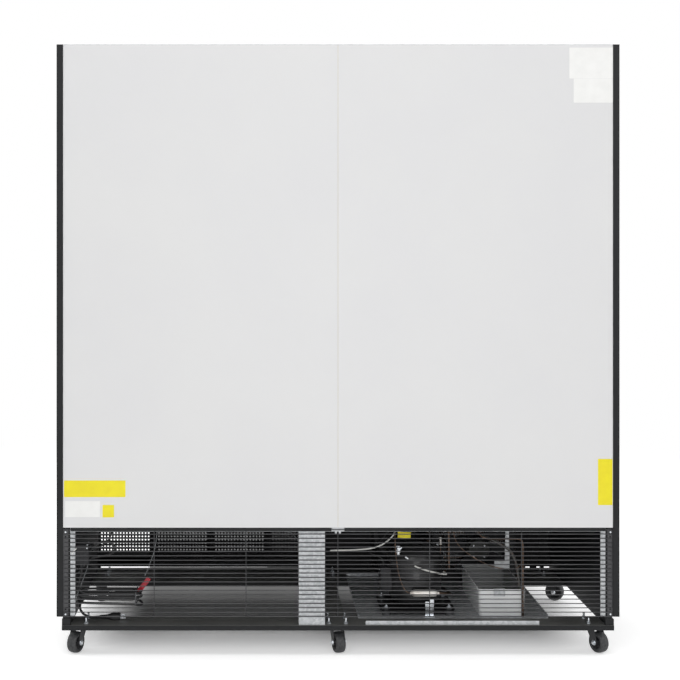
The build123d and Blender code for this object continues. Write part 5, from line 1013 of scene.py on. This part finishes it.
# Labels, all left blank: film on the rear panels; a tag and a flag of film on the leads in the bay
labelPlan = {"face": 405, "thick": 0.35,
             # name: finish, left and right X, low and high Z
             "films": {"tallWhiteFilm": ("whiteFilm", -893.5, -752, 1876.5, 1977), "nextWhiteFilm": ("whiteFilm", -893.5, -766, 1798, 1876),
                       "wideYellowFilm": ("yellowFilm", 690.6, 890.5, 516, 570), "lowWhiteFilm": ("whiteFilm", 773.5, 887, 451, 503),
                       "smallYellowFilm": ("yellowFilm", 727.9, 765.2, 450, 490.5), "sideYellowFilm": ("yellowFilm", -892, -845, 490, 640)},
             "tag": {"from": (654, 194.5), "to": (618, 240.5), "wide": 15, "y": 358},
             "flag": {"from": (-251, 366), "to": (-208, 369), "wide": 20, "y": 295},
             "edge": {"half": 869, "low": 404.6, "high": 416.3, "y": (403.7, 404.7)}}
for name, (finish, left, right, low, high) in labelPlan["films"].items():
    bm = bmesh.new()
    addPlate(bm, roundedRect(right - left, high - low, 2, (left + right) / 2, (low + high) / 2, 3), [],
             upright(labelPlan["face"] + labelPlan["thick"]), labelPlan["thick"])
    makePiece(bm, name, finish, bevel=0.1)


def addStrip(bm, strip, thick, bow):
    # a strip of film that bows along its length
    start, end = Vector(strip["from"]), Vector(strip["to"])
    across = Vector((start.y - end.y, end.x - start.x)).normalized() * strip["wide"] / 2
    rows = []
    for k in range(9):
        spot = start.lerp(end, k / 8)
        y = strip["y"] + bow * sin(pi * k / 8)
        rows.append([bm.verts.new((spot.x + s * across.x, y + d * thick, spot.y + s * across.y))
                     for s, d in ((-1, 0), (1, 0), (1, 1), (-1, 1))])
    for low, high in zip(rows, rows[1:]):
        for i in range(4):
            j = (i + 1) % 4
            bm.faces.new((low[i], low[j], high[j], high[i]))
    bm.faces.new(rows[0][::-1])
    bm.faces.new(rows[-1])


bm = bmesh.new()
addStrip(bm, labelPlan["tag"], 0.8, 5)
hangTag = makePiece(bm, "hangTag", "redFilm")
bm = bmesh.new()
addStrip(bm, labelPlan["flag"], 0.8, 3)
leadFlag = makePiece(bm, "leadFlag", "yellowFilm")
bm = bmesh.new()
edge = labelPlan["edge"]
for side in (-1, 1):  # the ceiling's folded edge, black, in two lengths that leave the seam bracket free
    near, far = sorted((side * 21, side * edge["half"]))
    addBox(bm, (near, edge["y"][0], edge["low"]), (far, edge["y"][1], edge["high"]))
    addBox(bm, (near + 0.1, 399.8, edge["high"] - 1.2), (far - 0.1, edge["y"][0] + 0.1, edge["high"] - 0.1))
ceilingEdge = makePiece(bm, "ceilingEdge", "powderCoat", bevel=0.3)
print("labels and ceiling edge made")

# Doors: gasket, handle and pane spacer ride on each door; the bracket screws and washers stay on the cabinet
doorPlan = {"middles": {"left": -607, "center": 0, "right": 607}, "handles": {"left": -331.5, "center": 275.5, "right": 331.5},
            "pivots": (-894.5, -287.5, 894.5), "low": 424, "high": 1832, "wide": 599, "rail": 48, "back": -335, "front": -377,
            "gasketInset": 24, "spacer": (-362, -350), "handleZ": (968, 1288), "gripY": -401.5, "hingeY": -365}
halfGasket = [(10, 0), (10, 1.6), (9.2, 2.2), (5.2, 2.4), (5.2, 2.9), (7.2, 3.5), (7.4, 4.1), (6, 4.5), (6, 6.15)]
gasketSection = halfGasket + [(-u, v) for u, v in halfGasket[::-1]]
centreZ = (doorPlan["low"] + doorPlan["high"]) / 2
halfHigh = (doorPlan["high"] - doorPlan["low"]) / 2


def ringPath(middle, y, halfWide, halfTall):
    return [(middle + u * halfWide, y, centreZ + v * halfTall) for u, v in ((-1, -1), (1, -1), (1, 1), (-1, 1))]


for name, middle in doorPlan["middles"].items():
    body = "door_" + name
    inset = doorPlan["gasketInset"]
    bm = bmesh.new()
    addSweep(bm, ringPath(middle, doorPlan["back"], doorPlan["wide"] / 2 - inset, halfHigh - inset), gasketSection, (0, 1, 0))
    makePiece(bm, "doorGasket_" + name, "softVinyl", body, ("door_gasket_" + name,), smooth=50)
    bm = bmesh.new()
    front, back = doorPlan["spacer"]
    deep = back - front
    spacerSection = [(-3.6, 0.1), (-3.6, 1.4), (-3.0, 1.8), (-3.0, deep - 1.8), (-3.6, deep - 1.4), (-3.6, deep - 0.1), (3.7, deep - 0.1),
                     (3.7, 0.1)]
    addSweep(bm, ringPath(middle, front, doorPlan["wide"] / 2 - doorPlan["rail"] - 4, halfHigh - doorPlan["rail"] - 4),
             spacerSection, (0, 1, 0))
    makePiece(bm, "paneSpacer_" + name, "brightZinc", body)
    # bow handle: oval section bent out of the door at both ends, with a pad at each foot
    x, (low, high), grip = doorPlan["handles"][name], doorPlan["handleZ"], doorPlan["gripY"]
    half = [(-376.9, 13), (-380, 13), (-386, 14.6), (-392, 18), (-397, 23.6), (-400.4, 31), (grip, 41), (grip, 80), (grip, 120)]
    path = [(x, y, low + up) for y, up in half] + [(x, y, high - up) for y, up in half[::-1]]
    bm = bmesh.new()
    addSweep(bm, path, [(v, u) for u, v in roundedRect(20, 10, 4.4, steps=4)], (1, 0, 0), closed=False)
    for foot in (low + 13, high - 13):
        addPlate(bm, roundedRect(20, 26, 8, x, foot, 6), [], upright(doorPlan["front"] + 0.02), 2.4)
    makePiece(bm, "doorHandle_" + name, "mouldedNylon", body, ("door_handle_" + name,), bevel=0.4, smooth=50)
screwBm, washerBm = bmesh.new(), bmesh.new()
for pivot in doorPlan["pivots"]:
    for z, washerZ in ((431, 422.1), (1825, 1832.1)):
        for step in (-8, 8):
            addScrew(screwBm, (pivot + step, -331.5, z), (0, -1, 0), 3.2)
        addTurned(washerBm, (pivot, doorPlan["hingeY"], washerZ), (0, 0, 1),
                  [(5.3, 0), (9, 0), (9, 1.3), (8.4, 1.7), (5.3, 1.7), (5.3, 0)], 28)
hingeScrews = makePiece(screwBm, "hingeScrews", "brightZinc")
hingeWashers = makePiece(washerBm, "hingeWashers", "naturalNylon")
print("doors dressed")

# Header: a snap frame over the edge of the lit face, with a mitre at each corner
headerPlan = {"halfWide": 904, "halfHigh": 63, "z": 1913.5, "front": -377}
bm = bmesh.new()
path = [(u * headerPlan["halfWide"], headerPlan["front"], headerPlan["z"] + v * headerPlan["halfHigh"])
        for u, v in ((-1, -1), (1, -1), (1, 1), (-1, 1))]
addSweep(bm, path, [(-5.4, -0.5), (5.4, -0.5), (5.4, 1.2), (4.4, 2.4), (-3.4, 2.4), (-5.4, 0.8)], (0, -1, 0))
headerTrim = makePiece(bm, "headerTrim", "extrudedVinyl")
bm = bmesh.new()
for x in (-860, -430, 0, 430, 860):
    addScrew(bm, (x, -352, 1840), (0, 0, -1), 3.2)
headerScrews = makePiece(bm, "headerScrews", "brightZinc")
bm = bmesh.new()
for side in (-1, 1):  # end caps of the light strips
    for low, high in ((524.5, 531), (1729, 1735.5)):
        addPrism(bm, roundedRect(22.8, 12.2, 2.5, side * 276.5, -272.4), Matrix.Translation((0, 0, low)), high - low)
lampCaps = makePiece(bm, "lampCaps", "mouldedNylon", bevel=0.5)
for side, name in ((-1, "lampLeadLeft"), (1, "lampLeadRight")):
    makeLine(name, [(side * 276.5, -272, 1735), (side * 276.5, -272, 1752), (side * 279, -270, 1770), (side * 279, -266, 1786),
                    (side * 279, -258, 1800), (side * 281, -252, 1824)], 4, "whiteInsulation")
print("header and light strips dressed")

# Shelf standards: rolled channels with a slot every 25 mm, and a pressed clip under each shelf corner
shelfPlan = {"bottoms": (690, 940, 1190, 1440), "spans": ((-849.5, -309.5), (-297.5, 297.5), (309.5, 849.5)),
             "front": -258.5, "rear": 325, "rim": 3, "wire": 1.5, "cross": 1.4, "pitch": 24.5,
             "low": 540, "high": 1590, "wide": 24, "deep": 12, "sheet": 1.4,
             # back of each standard and the way it faces
             "standards": [((x, 345), (0, -1)) for x in (-842.5, -303.5, 303.5, 842.5)]
             + [((x, -278.5), (0, 1)) for x in (-303.5, 303.5)] + [((-864.5, -256.5), (1, 0)), ((864.5, -256.5), (-1, 0))]}
standardBm, clipBm = bmesh.new(), bmesh.new()
low, high, wide, deep, sheet = (shelfPlan[key] for key in ("low", "high", "wide", "deep", "sheet"))
for (x, y), facing in shelfPlan["standards"]:
    out = Vector((*facing, 0))
    place = Matrix((Vector((0, 0, 1)).cross(out), (0, 0, 1), out)).transposed().to_4x4()
    place.translation = Vector((x, y, 0))
    slots = [roundedRect(5, 15, 2.2, 0, low + 25 + 25 * k, 2) for k in range(41)]
    addPlate(standardBm, roundedRect(wide, high - low, 1, 0, (low + high) / 2, 2), slots,
             place @ Matrix.Translation((0, 0, deep - sheet)), sheet)
    for side in (-1, 1):
        near, far = sorted((side * wide / 2, side * (wide / 2 - sheet)))
        addBox(standardBm, (near, low, 0), (far, high, deep - sheet), place)
        near, far = sorted((side * (wide / 2 - sheet), side * 7.4))
        addBox(standardBm, (near, low, 0), (far, high, sheet), place)
    for bottom in shelfPlan["bottoms"]:
        addBox(clipBm, (-20, bottom - 2, deep + 0.1), (20, bottom - 0.03, deep + 20), place)
        addBox(clipBm, (-19.9, bottom - 10, deep + 0.15), (19.9, bottom - 1.9, deep + 1.9), place)
        gusset = [(deep + 1.8, bottom - 9.8), (deep + 5, bottom - 9), (deep + 18.6, bottom - 3.4), (deep + 19.4, bottom - 1.95),
                  (deep + 1.8, bottom - 1.95)]
        for across in (-14, 12):
            sheetAt = place @ Matrix(((0, 0, 1, across), (0, 1, 0, 0), (1, 0, 0, 0), (0, 0, 0, 1)))
            addPrism(clipBm, gusset, sheetAt, 2)
        addBox(clipBm, (-2, bottom - 13, deep - 6), (2, bottom - 4, deep + 0.3), place)
shelfStandards = makePiece(standardBm, "shelfStandards", "linerWhite", stands=("shelf_standards",))
shelfClips = makePiece(clipBm, "shelfClips", "brightZinc", bevel=0.3)

# Wire shelves: a bent rim, three cross wires under it and the close wires on top of those
front, rear, rim = shelfPlan["front"], shelfPlan["rear"], shelfPlan["rim"]
for number, (left, right) in enumerate(shelfPlan["spans"]):
    bm = bmesh.new()
    for bottom in shelfPlan["bottoms"]:
        loop = roundedRect(right - left - 2 * rim, rear - front - 2 * rim, 14, (left + right) / 2, (front + rear) / 2, 4)
        addSweep(bm, [(x, y, bottom + rim) for x, y in loop], circle(rim, 10), (0, 0, 1))
        for k in range(1, 4):
            y = front + (rear - front) * k / 4
            addRod(bm, (left + rim, y, bottom + 1.5), (right - rim, y, bottom + 1.5), shelfPlan["cross"], 8)
        count = int((right - left - 30) // shelfPlan["pitch"])
        for k in range(count + 1):
            x = (left + right) / 2 + (k - count / 2) * shelfPlan["pitch"]
            addRod(bm, (x, front + rim, bottom + 4.4), (x, rear - rim, bottom + 4.4), shelfPlan["wire"], 8)
    makePiece(bm, "wireShelves_" + ("left", "center", "right")[number], "coatedWire",
              stands=("wire_shelves",) if number == 1 else ())
print("shelves made")

# Evaporator: finned block hung between two plates, its sheet cover with intake slots, and a wire guard over each fan
evaporatorPlan = {"halfWide": 560, "front": 165, "rear": 325, "low": 1751.5, "high": 1931.5, "pitch": 7, "tube": 4.75,
                  "columns": (197, 245, 293), "rows": (1773.5, 1807.5, 1841.5, 1875.5, 1909.5),
                  "cover": {"half": 620, "front": 70, "rear": 341, "low": 1725, "high": 1933, "sheet": 1.5},
                  "fanX": 300, "fanZ": 1829, "opening": 89, "strapY": 109.5}
plan = evaporatorPlan
bm = bmesh.new()
count = int(2 * (plan["halfWide"] - 6) / plan["pitch"])
for k in range(count + 1):
    x = (k - count / 2) * plan["pitch"]
    addBox(bm, (x - 0.3, plan["front"], plan["low"]), (x + 0.3, plan["rear"], plan["high"] - 1))
coilFins = makePiece(bm, "coilFins", "finStock", stands=("evaporator_coil",))
bm = bmesh.new()
for y in plan["columns"]:
    for z in plan["rows"]:
        addRod(bm, (-566, y, z), (566, y, z), plan["tube"], 12)
for side in (-1, 1):
    for column, y in enumerate(plan["columns"]):
        first = 0 if (side > 0) == (column % 2 == 0) else 1
        for z in plan["rows"][first:-1:2]:
            middle, bend = z + 17, 17
            path = [(side * 566, y, z)] + [(side * (566 + bend * sin(radians(a))), y, middle - bend * cos(radians(a)))
                                           for a in range(15, 180, 15)] + [(side * 566, y, z + 34)]
            addSweep(bm, path, circle(plan["tube"], 12), (0, 1, 0), closed=False)
coilTubes = makePiece(bm, "coilTubes", "copperTube", smooth=60)
bm = bmesh.new()
for x in (-562, 560):
    place = Matrix(((0, 0, 1, x), (1, 0, 0, 0), (0, 1, 0, 0), (0, 0, 0, 1)))
    punched = [circle(5.2, 16, y, z) for y in plan["columns"] for z in plan["rows"]]
    addPlate(bm, roundedRect(160, 181, 3, 245, 1842), punched, place, 2)
coilPlates = makePiece(bm, "coilPlates", "galvanised")
cover = plan["cover"]
half, sheet, mid = cover["half"], cover["sheet"], (cover["low"] + cover["high"]) / 2
bm = bmesh.new()
intake = [roundedRect(58, 6, 2.8, x, y, 2) for x in range(-540, 541, 72) for y in range(150, 321, 14)]
addPlate(bm, roundedRect(2 * half, cover["rear"] - cover["front"], 2, 0, (cover["front"] + cover["rear"]) / 2), intake,
         Matrix.Translation((0, 0, cover["low"])), sheet)
fanHoles = [circle(plan["opening"], 64, side * plan["fanX"], plan["fanZ"]) for side in (-1, 1)]
addPlate(bm, roundedRect(2 * half, cover["high"] - cover["low"], 2, 0, mid), fanHoles, upright(cover["front"] + sheet), sheet)
for side in (-1, 1):
    near, far = sorted((side * half, side * (half - sheet)))
    addBox(bm, (near, cover["front"] + sheet, cover["low"] + sheet), (far, cover["rear"], cover["high"] - 0.2))
    hub = circle(7, 6, side * plan["fanX"], plan["fanZ"])
    addPlate(bm, roundedRect(24, 204, 1, side * plan["fanX"], mid), [hub], upright(plan["strapY"]), 2)
    addTurned(bm, (side * plan["fanX"], cover["front"] + sheet, plan["fanZ"]), (0, 1, 0),
              [(89, 0), (90.4, 0), (90.4, 4), (89, 4), (89, 0)], 64)
evaporatorCover = makePiece(bm, "evaporatorCover", "linerWhite", stands=("evaporator_cover",))
bm = bmesh.new()
for side in (-1, 1):
    x0, z0 = side * plan["fanX"], plan["fanZ"]
    for ring in (22, 35, 48, 61, 74, 87):
        addSweep(bm, [(x, 66.9, z) for x, z in circle(ring, 56, x0, z0)], circle(1.1, 6), (0, 1, 0))
    for k in range(4):
        a = pi / 4 + k * pi / 2
        u, v = cos(a), sin(a)
        addRod(bm, (x0 + 12 * u, 68.6, z0 + 12 * v), (x0 + 99 * u, 68.6, z0 + 99 * v), 1.4, 8)
        addTurned(bm, (x0 + 99 * u, 69.9, z0 + 99 * v), (0, -1, 0), [(0, 0), (6, 0), (6, 1.6), (0, 1.6)], 16)
    addTurned(bm, (x0, 69.4, z0), (0, -1, 0), [(0, 0), (14, 0), (14, 1.6), (11, 3.6), (0, 4)], 32)
fanGuards = makePiece(bm, "fanGuards", "coatedWire", smooth=60)
bm = bmesh.new()
for side in (-1, 1):
    for k in range(4):
        a = pi / 4 + k * pi / 2
        addScrew(bm, (side * plan["fanX"] + 99 * cos(a), 68.3, plan["fanZ"] + 99 * sin(a)), (0, -1, 0), 3.4)
    for z in (1742, 1916):
        addScrew(bm, (side * 606, 70, z), (0, -1, 0), 3.6)
    for y in (110, 300):
        addScrew(bm, (side * 604, y, 1725), (0, 0, -1), 3.6)
coverScrews = makePiece(bm, "coverScrews", "brightZinc")
print("evaporator made")

# Liner: sealant along its inner corners, a drain grate in its floor and the sensing tube on its rear wall
linerPlan = {"halfWide": 864.5, "front": -270.5, "rear": 345, "low": 470, "high": 1933, "bead": 3.2,
             "drain": (0, 260, 26), "probe": {"x": 180, "z": (1380, 1500), "radius": 6}}
bm = bmesh.new()
half, front, rear, low, high, bead = (linerPlan[key] for key in ("halfWide", "front", "rear", "low", "high", "bead"))
for side in (-1, 1):
    x = side * (half - 0.4)
    addRod(bm, (x, rear - 0.4, low), (x, rear - 0.4, high), bead, 10)
    addRod(bm, (x, front, low + 0.4), (x, rear, low + 0.4), bead, 10)
    addRod(bm, (x, front, high - 0.4), (x, rear, high - 0.4), bead, 10)
for z in (low + 0.4, high - 0.4):
    addRod(bm, (-half, rear - 0.4, z), (half, rear - 0.4, z), bead, 10)
linerSealant = makePiece(bm, "linerSealant", "opalAcrylic", smooth=60)
bm = bmesh.new()
x, y, radius = linerPlan["drain"]
slots = [roundedRect(26 - abs(k) * 4, 2.6, 1.2, x, y + k * 6, 2) for k in range(-3, 4)]
addPlate(bm, circle(radius, 40, x, y), slots, Matrix.Translation((0, 0, low + 0.1)), 1.6)
addTurned(bm, (x, y, low), (0, 0, 1), [(radius, 0), (radius + 6, 0.1), (radius + 5.4, 1.4), (radius, 2), (radius, 0)], 40)
drainGrate = makePiece(bm, "drainGrate", "brightZinc")
bm = bmesh.new()
x, (low, high), radius = linerPlan["probe"]["x"], linerPlan["probe"]["z"], linerPlan["probe"]["radius"]
y = rear - radius - 4
addTurned(bm, (x, y, low), (0, 0, 1), [(0, 0), (radius * 0.5, 0.6), (radius * 0.8, 3), (radius * 0.8, high - low - 20),
                                       (radius, high - low - 19), (radius, high - low), (0, high - low)], 20)
for z in (low + 25, high - 30):  # clips that hold the tube to the wall
    addBox(bm, (x - 9, rear - 1.6, z), (x + 9, rear - 0.1, z + 12))
    addSweep(bm, [(x + 7.6 * cos(radians(a)), y + 7.6 * sin(radians(a)) + 1, z + 6) for a in range(170, 371, 20)],
             [(-0.6, -6), (0.6, -6), (0.6, 6), (-0.6, 6)], (0, 0, 1), closed=False)
probeTube = makePiece(bm, "probeTube", "linerWhite", smooth=50)

# Roof: blind rivets along the edges of the top sheet, and the two sealed holes that the foam was filled through
roofPlan = {"top": 1987, "halfWide": 896, "front": -310, "rear": 392, "rivet": 3.2, "plugs": (-430, 430), "plug": 14}
rivetBm, plugBm = bmesh.new(), bmesh.new()
spots = [(x, y) for x in range(-840, 841, 210) for y in (roofPlan["front"], roofPlan["rear"])]
spots += [(side * roofPlan["halfWide"], y) for side in (-1, 1) for y in range(-200, 391, 180)]
for x, y in spots:
    addTurned(rivetBm, (x, y, roofPlan["top"] - 0.05), (0, 0, 1), [(0, 0), (3.4, 0), (3.1, 0.6), (2, 0.95), (1, 1), (0.9, 0.5), (0, 0.5)], 16)
roofRivets = makePiece(rivetBm, "roofRivets", "brightZinc")
for x in roofPlan["plugs"]:
    addTurned(plugBm, (x, 40, roofPlan["top"] - 0.05), (0, 0, 1),
              [(0, 0), (14, 0), (13.6, 0.8), (11, 1.1), (10.4, 0.7), (2, 0.7), (1.6, 0.9), (0, 0.9)], 36)
roofPlugs = makePiece(plugBm, "roofPlugs", "mouldedNylon")
print("liner and roof details made")

# CAD nodes that keep their own shape, and the finish each one gets
bySlot = {"black_paint": "powderCoat", "grey_paint": "coilCoat", "galvanised": "galvanised", "foam": "rigidFoam",
          "white_metal": "linerWhite", "fins": "finStock", "copper": "copperTube", "black_plastic": "extrudedVinyl",
          "motor_black": "castHousing", "compressor_black": "stovedEnamel", "pan_white": "milkyPolypropylene",
          "clear_glass": "floatGlass", "lamp_white": "opalAcrylic", "shelf_white": "coatedWire",
          "seal_grey": "softVinyl", "cord_black": "rubberJacket", "wheel_black": "rubberTread"}
# the base frame takes the coat with painted light on its upward faces
for part in frame["record"]["subparts"]:
    dress("paintedToplightCoat" if part["node"] == "base_frame" else bySlot[part["material_slot"]], part["node"])
